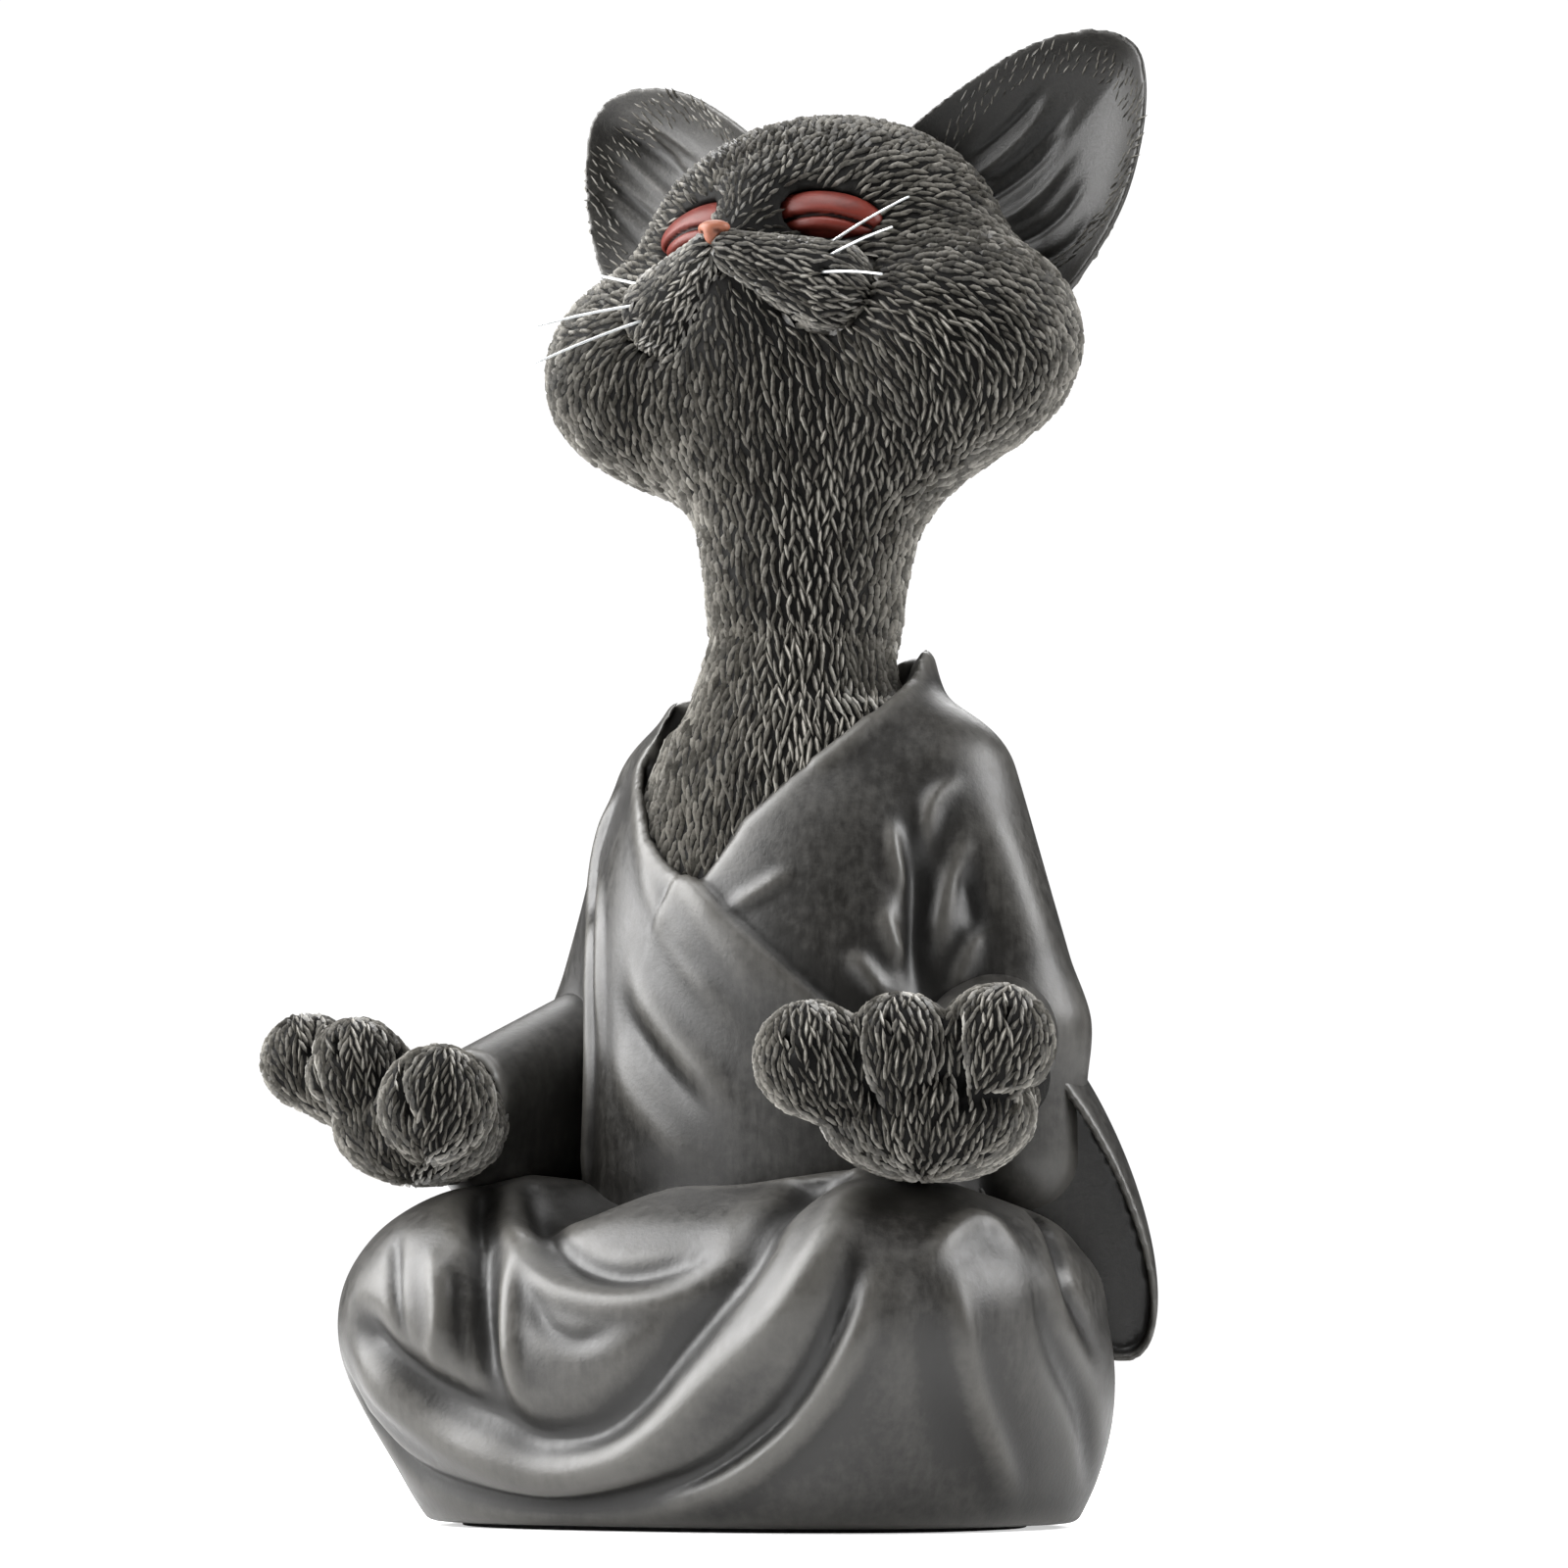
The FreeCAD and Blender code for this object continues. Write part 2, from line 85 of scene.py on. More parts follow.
@dataclass
class Clay:
    """A block of modelling clay: distances to its surface on an even grid of points, negative inside."""

    low: Point
    high: Point
    step: float
    points: list[np.ndarray] = field(init=False)
    distance: np.ndarray = field(init=False)

    def __post_init__(self) -> None:
        """Lays the empty grid."""
        axes = [np.arange(a, b + self.step, self.step, dtype=np.float32) for a, b in zip(self.low, self.high)]
        self.points = np.meshgrid(*axes, indexing="ij", sparse=True)
        self.distance = np.full([len(axis) for axis in axes], 1e3, np.float32)

    @classmethod
    def beside(cls, side: int, across: tuple[float, float], low: tuple[float, float],
               high: tuple[float, float], step: float) -> Clay:
        """An empty block on one side of the middle plane.

        Args:
            side: 1 for the left, -1 for the right.
            across: how far its inner and outer faces lie from the middle plane.
            low: Y and Z of its lowest corner.
            high: Y and Z of its highest corner.
            step: the grid's spacing.

        Returns:
            The block.
        """
        left, right = sorted(side * x for x in across)
        return cls((left, *low), (right, *high), step)

    def add(self, form: np.ndarray, blend: float = 0.0) -> None:
        """Presses a form on to the block, with a fillet of that reach."""
        self.distance = smooth_join(self.distance, form, blend)

    def cut(self, form: np.ndarray, blend: float = 0.0) -> None:
        """Takes a form away from the block, with its edge rounded by that much."""
        self.distance = -smooth_join(-self.distance, form, blend)

    def keep(self, form: np.ndarray, blend: float = 0.0) -> None:
        """Keeps only what lies inside a form, with its edge rounded by that much."""
        self.distance = -smooth_join(-self.distance, -form, blend)

    def ball(self, centre: Point, radii: Point, axes: np.ndarray | None = None) -> np.ndarray:
        """An ellipsoid.

        Args:
            centre: its centre.
            radii: its three radii.
            axes: rows are the directions of the radii, the frame's own if left out.

        Returns:
            Its distances.
        """
        offsets = [p - np.float32(c) for p, c in zip(self.points, centre)]
        if axes is not None:
            offsets = [sum(np.float32(a) * o for a, o in zip(row, offsets)) for row in axes]
        near = np.sqrt(sum((o / np.float32(r)) ** 2 for o, r in zip(offsets, radii)))
        far = np.sqrt(sum((o / np.float32(r * r)) ** 2 for o, r in zip(offsets, radii)))
        return near * (near - 1.0) / np.maximum(far, 1e-6)

    def limb(self, start: Point, end: Point, start_radius: float, end_radius: float,
             squash: Point = (1.0, 1.0, 1.0)) -> np.ndarray:
        """A round limb that tapers evenly from one ball to another.

        Args:
            start: centre of the first ball.
            end: centre of the second ball.
            start_radius: radius at the start.
            end_radius: radius at the end.
            squash: how much thinner than round the limb is along X, Y and Z.

        Returns:
            Its distances.
        """
        scale = np.array(squash)
        a, run = np.array(start) / scale, (np.array(end) - np.array(start)) / scale
        offsets = [p / np.float32(k) - np.float32(c) for p, k, c in zip(self.points, scale, a)]
        along = sum(o * np.float32(r) for o, r in zip(offsets, run)) / np.float32(run @ run)
        along = np.clip(along, 0.0, 1.0)
        gap = np.sqrt(sum((o - along * np.float32(r)) ** 2 for o, r in zip(offsets, run)))
        return (gap - (start_radius + along * (end_radius - start_radius))) * np.float32(min(squash))

    def column(self, rows: tuple[tuple[float, float, float, float], ...], squareness: float) -> np.ndarray:
        """An upright column with a rounded-square section that changes smoothly with height.

        Args:
            rows: height, half width, front y and back y, from the foot up.
            squareness: 2 for an ellipse, more for a squarer section.

        Returns:
            Its distances, capped flat at both ends.
        """
        x, y, z = self.points
        heights = [row[0] for row in rows]
        width, front, back = (smooth_curve(z, heights, [row[i] for row in rows]) for i in (1, 2, 3))
        depth = (back - front) / 2
        across, along = np.abs(x) / width, np.abs(y - (front + back) / 2) / depth
        reach = (across ** squareness + along ** squareness) ** (1.0 / squareness)
        level = np.maximum(heights[0] - z, z - heights[-1])
        return np.maximum((reach - 1.0) * np.minimum(width, depth), level)

    def half(self, point: Point, outward: Point) -> np.ndarray:
        """Everything behind a plane.

        Args:
            point: a point on the plane.
            outward: the direction out of the kept side.

        Returns:
            Distances to that side.
        """
        normal = unit(np.array(outward, dtype=float))
        return sum((p - np.float32(c)) * np.float32(n) for p, c, n in zip(self.points, point, normal))

    def seen(self, view: Sightline) -> tuple[np.ndarray, np.ndarray, np.ndarray]:
        """Where the grid's points appear from a sightline.

        Args:
            view: the sightline.

        Returns:
            Places across and up, in the sightline's own measure, and distances towards the eye.
        """
        x, y, z = self.points
        right, back = (np.float32(v) for v in view.across[:2])
        toward = x * back - y * right
        grow = np.float32(view.distance) / (np.float32(view.distance) - toward)
        return (x * right + y * back) * grow, view.height + (z - view.height) * grow, toward

    def outline(self, across: np.ndarray, up: np.ndarray, corners: np.ndarray) -> np.ndarray:
        """A straight-sided form with a given outline.

        Args:
            across: each grid point's place across the outline's plane.
            up: its place up that plane.
            corners: the outline's corners, in order round it.

        Returns:
            Its distances.
        """
        across, up = np.broadcast_arrays(across, up)
        gap = np.full(across.shape, 1e9, np.float32)
        inside = np.zeros(across.shape, bool)
        for (ax, ay), (bx, by) in zip(corners, np.roll(corners, -1, axis=0)):
            ex, ey = np.float32(bx - ax), np.float32(by - ay)
            px, py = across - np.float32(ax), up - np.float32(ay)
            along = np.clip((px * ex + py * ey) / (ex * ex + ey * ey + np.float32(TINY)), 0.0, 1.0)
            gap = np.minimum(gap, (px - along * ex) ** 2 + (py - along * ey) ** 2)
            crosses = ((ay <= up) & (up < by)) | ((by <= up) & (up < ay))
            reach = ax + (up - ay) / (ey if abs(ey) > TINY else np.float32(TINY)) * ex
            inside ^= crosses & (across < reach)
        return np.where(inside, -1.0, 1.0).astype(np.float32) * np.sqrt(gap)

    def sample(self, where: np.ndarray) -> np.ndarray:
        """Distances at any points, read between the grid's own.

        Args:
            where: a table of points.

        Returns:
            One distance per point.
        """
        place = (where - np.array(self.low)) / self.step
        limit = np.array(self.distance.shape) - 2
        base = np.clip(np.floor(place).astype(int), 0, limit)
        share = np.clip(place - base, 0.0, 1.0)
        total = np.zeros(len(where))
        for corner in np.ndindex(2, 2, 2):
            weight = np.prod(np.where(corner, share, 1.0 - share), axis=1)
            i, j, k = (base + np.array(corner)).T
            total += weight * self.distance[i, j, k]
        return total

    def gradient(self, where: np.ndarray) -> np.ndarray:
        """Outward unit normals at any points near the surface."""
        reach = 0.75 * self.step
        steps = np.eye(3) * reach
        slopes = [self.sample(where + s) - self.sample(where - s) for s in steps]
        return unit(np.stack(slopes, axis=1))

    def surface(self) -> Skin:
        """The block's surface as a skin of small quads."""
        band = 3.0 * self.step
        grid = openvdb.FloatGrid(band)
        grid.copyFromArray(np.clip(self.distance, -band, band).astype(np.float32))
        points, _, quads = grid.convertToPolygons(0.0, 0.0)
        return Skin(points * self.step + np.array(self.low), quads.astype(np.int64))


def smooth_curve(at: np.ndarray, xs: list[float], ys: list[float]) -> np.ndarray:
    """A smooth curve through a few points, flat outside them.

    Args:
        at: where to read it.
        xs: the points' rising places.
        ys: the points' values.

    Returns:
        The curve's values.
    """
    fine = np.linspace(xs[0], xs[-1], 241)
    slopes = np.gradient(np.array(ys, dtype=float), np.array(xs, dtype=float))
    index = np.clip(np.searchsorted(xs, fine) - 1, 0, len(xs) - 2)
    x0, x1 = np.take(xs, index), np.take(xs, index + 1)
    run = x1 - x0
    t = (fine - x0) / run
    curve = ((1 + 2 * t) * (1 - t) ** 2 * np.take(ys, index) + t * (1 - t) ** 2 * run * slopes[index]
             + t * t * (3 - 2 * t) * np.take(ys, index + 1) + t * t * (t - 1) * run * slopes[index + 1])
    return np.interp(at, fine, curve).astype(np.float32)


# --- lines laid on a form ----------------------------------------------------------------------------------
@dataclass(frozen=True)
class Sightline:
    """A place to stand and look at the figurine, from which lines are drawn on to its forms.

    A line's points are given in millimetres across and up the upright plane through the origin that faces it.
    """

    azimuth: float
    distance: float = 1150.0
    height: float = 32.0
    reach: float = 130.0

    @property
    def eye(self) -> np.ndarray:
        """Where the eye is."""
        turn = math.radians(self.azimuth)
        return np.array([math.sin(turn) * self.distance, -math.cos(turn) * self.distance, self.height])

    @property
    def across(self) -> np.ndarray:
        """The direction to the eye's right."""
        turn = math.radians(self.azimuth)
        return np.array([math.cos(turn), math.sin(turn), 0.0])

    def lay(self, clay: Clay, line: Outline, spacing: float = 1.5) -> np.ndarray:
        """Draws a smooth line on a form.

        Args:
            clay: the form.
            line: the line's points, across and up.
            spacing: about how far apart the points of the drawn line lie.

        Returns:
            The drawn line's points, on the surface.
        """
        flat = curve_through(np.array(line, dtype=float), spacing)
        aims = flat[:, :1] * self.across + flat[:, 1:] * np.array([0.0, 0.0, 1.0])
        rays = unit(aims - self.eye)
        starts = np.linalg.norm(aims - self.eye, axis=1) - self.reach
        travel = starts[:, None] + np.arange(0.0, 2 * self.reach, 1.0)[None, :]
        where = self.eye + rays[:, None, :] * travel[:, :, None]
        depth = clay.sample(where.reshape(-1, 3)).reshape(travel.shape)
        inside = depth < 0.0
        hit = inside.any(axis=1)
        first = np.where(hit, inside.argmax(axis=1), depth.argmin(axis=1))
        rows = np.arange(len(rays))
        before = depth[rows, np.maximum(first - 1, 0)]
        share = np.where(hit, before / np.maximum(before - depth[rows, first], 1e-6), 1.0)
        return self.eye + rays * (travel[rows, first] - 1.0 + share)[:, None]


def curve_through(points: np.ndarray, spacing: float) -> np.ndarray:
    """An even, smooth curve through a few points.

    Args:
        points: the points, in any number of dimensions.
        spacing: about how far apart the curve's points lie.

    Returns:
        The curve's points.
    """
    ends = [2 * points[0] - points[1], *points, 2 * points[-1] - points[-2]]
    pieces = []
    for a, b, c, d in zip(ends, ends[1:], ends[2:], ends[3:]):
        t = np.linspace(0.0, 1.0, max(2, int(np.linalg.norm(c - b) / spacing) + 1), endpoint=False)[:, None]
        pieces.append(0.5 * (2 * b + (c - a) * t + (2 * a - 5 * b + 4 * c - d) * t ** 2
                             + (3 * b - a - 3 * c + d) * t ** 3))
    return np.vstack(pieces + [points[-1:]])


VIEW = Sightline(32.0)


class Edge(Enum):
    """The section of a fold."""

    RIDGE = "ridge"
    VALLEY = "valley"
    STEP = "step"


@dataclass(frozen=True)
class Fold:
    """A fold, crease or overlap pressed into a form along a line.

    Attributes:
        line: points across and up, as seen from where.
        width: half width of the fold in millimetres.
        height: how far it stands proud or sinks in.
        edge: its section. A step stands proud on the line's right and dies away over its width.
        where: the sightline it is drawn from.
        taper: share of its length over which each end dies away.
        sharp: run of a step's cliff in millimetres.
    """

    line: Outline
    width: float
    height: float
    edge: Edge = Edge.RIDGE
    where: Sightline = VIEW
    taper: float = 0.35
    sharp: float = 0.5


def put(name: str, data: bpy.types.ID) -> bpy.types.Object:
    """Puts a mesh, a lamp or a camera into the scene as an object at the origin."""
    made = bpy.data.objects.new(name, data)
    bpy.context.scene.collection.objects.link(made)
    return made


@dataclass
class Skin:
    """A surface of small faces that can be pressed, smoothed and made into a mesh."""

    points: np.ndarray
    faces: np.ndarray

    def normals(self) -> np.ndarray:
        """Outward unit normals at the points."""
        a, b, c, d = (self.points[self.faces[:, i]] for i in range(4))
        facing = np.cross(c - a, d - b)
        total = np.zeros_like(self.points)
        for i in range(4):
            for axis in range(3):
                total[:, axis] += np.bincount(self.faces[:, i], facing[:, axis], len(self.points))
        return unit(total)

    def relax(self, rounds: int, strength: float = 0.5) -> None:
        """Evens the surface out.

        Args:
            rounds: how many times each point moves towards its neighbours.
            strength: how far it moves each time.
        """
        ends = np.vstack([self.faces[:, [i, (i + 1) % 4]] for i in range(4)])
        ends = np.vstack([ends, ends[:, ::-1]])
        count = np.maximum(np.bincount(ends[:, 0], minlength=len(self.points)), 1)
        for _ in range(rounds):
            mean = np.stack([np.bincount(ends[:, 0], self.points[ends[:, 1], axis], len(self.points)) / count
                             for axis in range(3)], axis=1)
            self.points = self.points + (mean - self.points) * strength

    def press(self, clay: Clay, folds: tuple[Fold, ...]) -> None:
        """Presses folds into the surface.

        Args:
            clay: the form that the surface was taken from.
            folds: the folds, in order.
        """
        for fold in folds:
            line = fold.where.lay(clay, fold.line)
            normals = self.normals()
            lift = fold_lift(self.points, normals, line, clay.gradient(line), fold)
            self.points = self.points + normals * lift[:, None]

    def to_object(self, name: str) -> bpy.types.Object:
        """Makes the surface a smooth-shaded object at the origin, in metres.

        Args:
            name: the object's name.

        Returns:
            The object, linked to the scene.
        """
        mesh = bpy.data.meshes.new(name)
        mesh.from_pydata((self.points * MM).tolist(), [], self.faces.tolist())
        mesh.validate()
        mesh.shade_smooth()
        return put(name, mesh)


def fold_lift(points: np.ndarray, normals: np.ndarray, line: np.ndarray, facing: np.ndarray,
              fold: Fold) -> np.ndarray:
    """How far each point of a surface moves for one fold.

    Args:
        points: the surface's points.
        normals: their outward normals.
        line: the fold's line on the surface.
        facing: outward normals along the line.
        fold: the fold.

    Returns:
        One distance per point, along its normal.
    """
    reach = 3.2 * fold.width
    low, high = line.min(axis=0) - reach, line.max(axis=0) + reach
    near = np.flatnonzero(((points > low) & (points < high)).all(axis=1))
    best = np.full(len(near), 1e9)
    share, side, agree = np.zeros((3, len(near)))
    local = points[near]
    lengths = np.concatenate([[0.0], np.cumsum(np.linalg.norm(np.diff(line, axis=0), axis=1))])
    for i, (a, b) in enumerate(zip(line, line[1:])):
        run = b - a
        along = np.clip((local - a) @ run / max(run @ run, TINY), 0.0, 1.0)
        offset = local - a - along[:, None] * run
        gap = np.einsum("ij,ij->i", offset, offset)
        closer = gap < best
        best[closer] = gap[closer]
        share[closer] = (lengths[i] + along[closer] * (lengths[i + 1] - lengths[i])) / lengths[-1]
        side[closer] = np.sign(offset[closer] @ np.cross(facing[i], run))
        agree[closer] = normals[near][closer] @ facing[i]
    gap = np.sqrt(best)
    ends = np.clip(np.minimum(share, 1.0 - share) / max(fold.taper, 1e-6), 0.0, 1.0)
    strength = ends * ends * (3 - 2 * ends) * np.clip(agree * 2.0, 0.0, 1.0)
    bell = np.exp(-(gap / fold.width) ** 2)
    if fold.edge is Edge.STEP:
        proud = -gap * side
        bell = np.where(proud > 0, bell, 1.0) / (1.0 + np.exp(-proud / fold.sharp * 2.0))
    sign = -1.0 if fold.edge is Edge.VALLEY else 1.0
    lift = np.zeros(len(points))
    lift[near] = sign * fold.height * bell * strength
    return lift


# --- finishes ----------------------------------------------------------------------------------------------
class NodeSheet:
    """A node tree under construction, with short calls for adding and joining its nodes."""

    def __init__(self, tree: bpy.types.NodeTree) -> None:
        """Starts an empty tree."""
        self.tree = tree
        tree.nodes.clear()

    def fill(self, node: bpy.types.Node, inputs: dict[str | int, object]) -> None:
        """Gives a node's inputs their values, or joins them to sockets, by name or index."""
        for key, value in inputs.items():
            if isinstance(value, bpy.types.NodeSocket):
                self.tree.links.new(value, node.inputs[key])
            else:
                node.inputs[key].default_value = value

    def add(self, kind: str, inputs: dict[str | int, object] | None = None,
            **settings: object) -> bpy.types.Node:
        """Adds a node.

        Args:
            kind: the node's type name.
            inputs: values or sockets for its inputs, by name or index.
            settings: the node's own properties.

        Returns:
            The node.
        """
        node = self.tree.nodes.new(kind)
        for name, value in settings.items():
            setattr(node, name, value)
        self.fill(node, inputs or {})
        return node

    def math(self, operation: str, *values: object) -> bpy.types.NodeSocket:
        """The result of a math node on numbers or sockets."""
        return self.add("ShaderNodeMath", dict(enumerate(values)), operation=operation).outputs[0]

    def ramp(self, factor: bpy.types.NodeSocket,
             stops: tuple[tuple[float, Colour], ...]) -> bpy.types.NodeSocket:
        """A colour read off a ramp.

        Args:
            factor: where on the ramp.
            stops: place and colour of each stop, rising.

        Returns:
            The colour.
        """
        node = self.add("ShaderNodeValToRGB", {0: factor})
        while len(node.color_ramp.elements) < len(stops):
            node.color_ramp.elements.new(0.5)
        for element, (place, colour) in zip(node.color_ramp.elements, stops):
            element.position = place
            element.color = (*colour, 1.0)
        return node.outputs[0]

    def span(self, value: bpy.types.NodeSocket, low: float, high: float, to_low: float = 0.0,
             to_high: float = 1.0) -> bpy.types.NodeSocket:
        """A value stretched from one range to another and held inside it."""
        node = self.add("ShaderNodeMapRange", {0: value, 1: low, 2: high, 3: to_low, 4: to_high})
        return node.outputs[0]

    def noise(self, place: bpy.types.NodeSocket, size_mm: float, detail: float = 3.0,
              roughness: float = 0.5) -> bpy.types.NodeSocket:
        """Soft noise with patches of about the given size."""
        node = self.add("ShaderNodeTexNoise", {"Vector": place, "Scale": 1.0 / (size_mm * MM),
                                               "Detail": detail, "Roughness": roughness})
        return node.outputs["Fac"]

    def bump(self, height: bpy.types.NodeSocket, strength: float, depth_mm: float) -> bpy.types.NodeSocket:
        """Shading normals roughened by a height of about that depth."""
        node = self.add("ShaderNodeBump", {"Strength": strength, "Distance": depth_mm * MM, "Height": height})
        return node.outputs[0]

    def attribute(self, name: str) -> bpy.types.NodeSocket:
        """A number stored on the mesh's points."""
        return self.add("ShaderNodeAttribute", attribute_name=name).outputs["Fac"]


def new_material(name: str) -> tuple[bpy.types.Material, NodeSheet, bpy.types.Node, bpy.types.NodeSocket]:
    """Starts a material with a surface shader.

    Args:
        name: the material's name.

    Returns:
        The material, its sheet, its surface shader, and object coordinates.
    """
    material = bpy.data.materials.new(name)
    material.use_nodes = True
    sheet = NodeSheet(material.node_tree)
    shader = sheet.add("ShaderNodeBsdfPrincipled")
    sheet.add("ShaderNodeOutputMaterial", {"Surface": shader.outputs[0]})
    place = sheet.add("ShaderNodeTexCoord").outputs["Object"]
    return material, sheet, shader, place


@dataclass(frozen=True)
class RobePaint:
    """Satin charcoal paint with a brown cast, with a painted highlight on the crests and painted shade in the
    creases.

    The "crest" attribute, 0 in a crease and 1 on a crest, is stored on the mesh.
    """

    # deep is painted shade for the creases, body the paint's own colour, and the last and palest colour a
    # painted highlight for the crests.
    deep: Colour = (0.004, 0.0036, 0.003)
    body: Colour = (0.0088, 0.0080, 0.0067)
    crest_highlight: Colour = (0.062, 0.059, 0.053)

    def build(self) -> bpy.types.Material:
        """Makes the material."""
        material, sheet, shader, place = new_material("robe_paint")
        cloud = sheet.noise(place, 26.0, 4.0)
        brush = sheet.noise(place, 2.2, 5.0, 0.62)
        upright = {0: place, 1: (1.0, 1.0, 0.16)}
        pulled = sheet.add("ShaderNodeVectorMath", upright, operation="MULTIPLY").outputs[0]
        streak = sheet.noise(pulled, 1.6, 4.0, 0.6)
        # The crest and a little noise pick the colour: painted shade in the creases, painted highlight on the
        # crests.
        lifted = sheet.attribute("crest")
        for pattern, low, less, more in ((cloud, 0.3, -0.06, 0.06), (streak, 0.35, -0.04, 0.06),
                                         (brush, 0.35, -0.05, 0.07)):
            lifted = sheet.math("ADD", lifted, sheet.span(pattern, low, 0.7, less, more))
        satin = sheet.span(brush, 0.3, 0.75, 0.34, 0.43)
        sheet.fill(shader, {
            "Base Color": sheet.ramp(lifted, ((0.22, self.deep), (0.5, self.body), (0.95, self.crest_highlight))),
            "Roughness": sheet.math("ADD", satin, sheet.span(streak, 0.3, 0.7, 0.0, 0.08)),
            "Specular IOR Level": 0.5,
            "Normal": sheet.bump(sheet.noise(place, 0.9, 4.0, 0.6), 0.12, 0.4)})
        return material


@dataclass(frozen=True)
class FurPaint:
    """Charcoal paint over laid strokes, with painted shade at their feet and a pale back that is partly
    dry-brush and partly painted highlight.

    Reads "crest", "shade" and "tone" from the mesh.
    """

    name: str = "fur_paint"
    # gap is painted shade at the strokes' feet and in creases; the palest colour is dry-brush and painted
    # highlight on the strokes' backs.
    gap: Colour = (0.0025, 0.0023, 0.0019)
    stroke: Colour = (0.084, 0.079, 0.068)
    brushed_highlight: Colour = (0.310, 0.296, 0.265)
    crest_share: float = 0.95
    roughness: tuple[float, float] = (0.34, 0.52)
    gloss: float = 0.4

    def build(self) -> bpy.types.Material:
        """Makes the material."""
        material, sheet, shader, place = new_material(self.name)
        crest, shade, painted_light = (sheet.attribute(name) for name in ("crest", "shade", "painted_light"))
        speck = sheet.noise(place, 0.8, 4.0, 0.6)
        patch = sheet.noise(place, 18.0, 3.0)
        value = sheet.math("MULTIPLY", sheet.math("MULTIPLY", crest, self.crest_share),
                           sheet.span(shade, 0.0, 1.0, 0.35, 1.05))
        value = sheet.math("ADD", value, sheet.span(speck, 0.3, 0.75, -0.16, 0.2))
        value = sheet.math("ADD", value, sheet.span(patch, 0.3, 0.7, -0.07, 0.07))
        # The last term adds painted light where the stored paleness is above 0 and painted shade where it is
        # below.
        value = sheet.math("ADD", value, sheet.math("MULTIPLY", painted_light, 0.4))
        sheet.fill(shader, {
            "Base Color": sheet.ramp(value, ((0.0, self.gap), (0.45, self.stroke), (1.0, self.brushed_highlight))),
            "Roughness": sheet.span(speck, 0.3, 0.75, *self.roughness),
            "Specular IOR Level": self.gloss,
            "Normal": sheet.bump(sheet.noise(place, 0.45, 3.0, 0.6), 0.3, 0.3)})
        return material


@dataclass(frozen=True)
class FurPaints:
    """The finishes of a furred piece: its strokes and the ground they stand on."""

    stroke: bpy.types.Material
    ground: bpy.types.Material

    @classmethod
    def build(cls) -> FurPaints:
        """Makes both."""
        # The ground under the strokes is near black with little gloss: painted shade in the gaps between
        # strokes, also seen where the fur is left off.
        ground = FurPaint("fur_gap_shade", (0.002, 0.002, 0.002), (0.006, 0.0056, 0.005), (0.05, 0.048, 0.045),
                          0.6, (0.6, 0.8), 0.1)
        return cls(FurPaint().build(), ground.build())


@dataclass(frozen=True)
class PlainPaint:
    """A painted finish of one hue, a little uneven, with painted shade where the "crest" attribute is low, in
    creases and hollows.
    """

    name: str
    dark: Colour
    light: Colour
    roughness: float
    patch_mm: float = 4.0
    gloss: float = 0.5

    def build(self) -> bpy.types.Material:
        """Makes the material."""
        material, sheet, shader, place = new_material(self.name)
        # A low crest, in a crease or hollow, picks the dark colour as painted shade.
        value = sheet.math("ADD", sheet.attribute("crest"),
                           sheet.span(sheet.noise(place, self.patch_mm, 4.0, 0.6), 0.3, 0.7, -0.2, 0.2))
        sheet.fill(shader, {
            "Base Color": sheet.ramp(value, ((0.1, self.dark), (0.8, self.light))),
            "Roughness": self.roughness, "Specular IOR Level": self.gloss,
            "Normal": sheet.bump(sheet.noise(place, 0.5, 4.0), 0.15, 0.2)})
        return material


@dataclass(frozen=True)
class Nylon:
    """Clear nylon bristle that scatters white light."""

    colour: Colour = (0.62, 0.64, 0.65)
    roughness: float = 0.28
    clearness: float = 0.35

    def build(self) -> bpy.types.Material:
        """Makes the material."""
        material, sheet, shader, place = new_material("whisker_nylon")
        cloud = sheet.noise(place, 1.2, 3.0)
        cloudy = tuple(0.8 * c for c in self.colour)
        sheet.fill(shader, {
            "Base Color": sheet.ramp(cloud, ((0.3, cloudy), (0.7, self.colour))),
            "Roughness": self.roughness, "Transmission Weight": self.clearness,
            "Subsurface Weight": 0.2, "Subsurface Radius": (0.6 * MM,) * 3})
        return material


# --- pieces ------------------------------------------------------------------------------------------------
def finish_piece(piece: bpy.types.Object, material: bpy.types.Material, slot: str, *nodes: str) -> None:
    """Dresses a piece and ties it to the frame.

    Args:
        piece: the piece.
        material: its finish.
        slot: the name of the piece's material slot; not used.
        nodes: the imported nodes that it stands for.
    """
    if not piece.data.materials:
        piece.data.materials.append(material)
    if nodes:
        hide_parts(*nodes)
    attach(piece, ROOT)
    count = sum(len(polygon.vertices) - 2 for polygon in piece.data.polygons)
    LOG.info("%s: %d triangles", piece.name, count)


def store_number(piece: bpy.types.Object, name: str, values: np.ndarray) -> None:
    """Stores one number per point of a piece's mesh under a name."""
    layer = piece.data.attributes.new(name, "FLOAT", "POINT")
    layer.data.foreach_set("value", np.asarray(values, np.float32))


def store_vector(piece: bpy.types.Object, name: str, values: np.ndarray) -> None:
    """Stores one vector per point of a piece's mesh under a name."""
    layer = piece.data.attributes.new(name, "FLOAT_VECTOR", "POINT")
    layer.data.foreach_set("vector", np.asarray(values, np.float32).ravel())


def exposure(skin: Skin, rounds: int = 14, scale: float = 0.55) -> np.ndarray:
    """How far each point stands out of the evened-out surface, as 0 in a crease to 1 on a crest."""
    flat = Skin(skin.points.copy(), skin.faces)
    flat.relax(rounds)
    proud = np.einsum("ij,ij->i", skin.points - flat.points, flat.normals())
    return 0.5 + 0.5 * np.tanh(proud / scale)


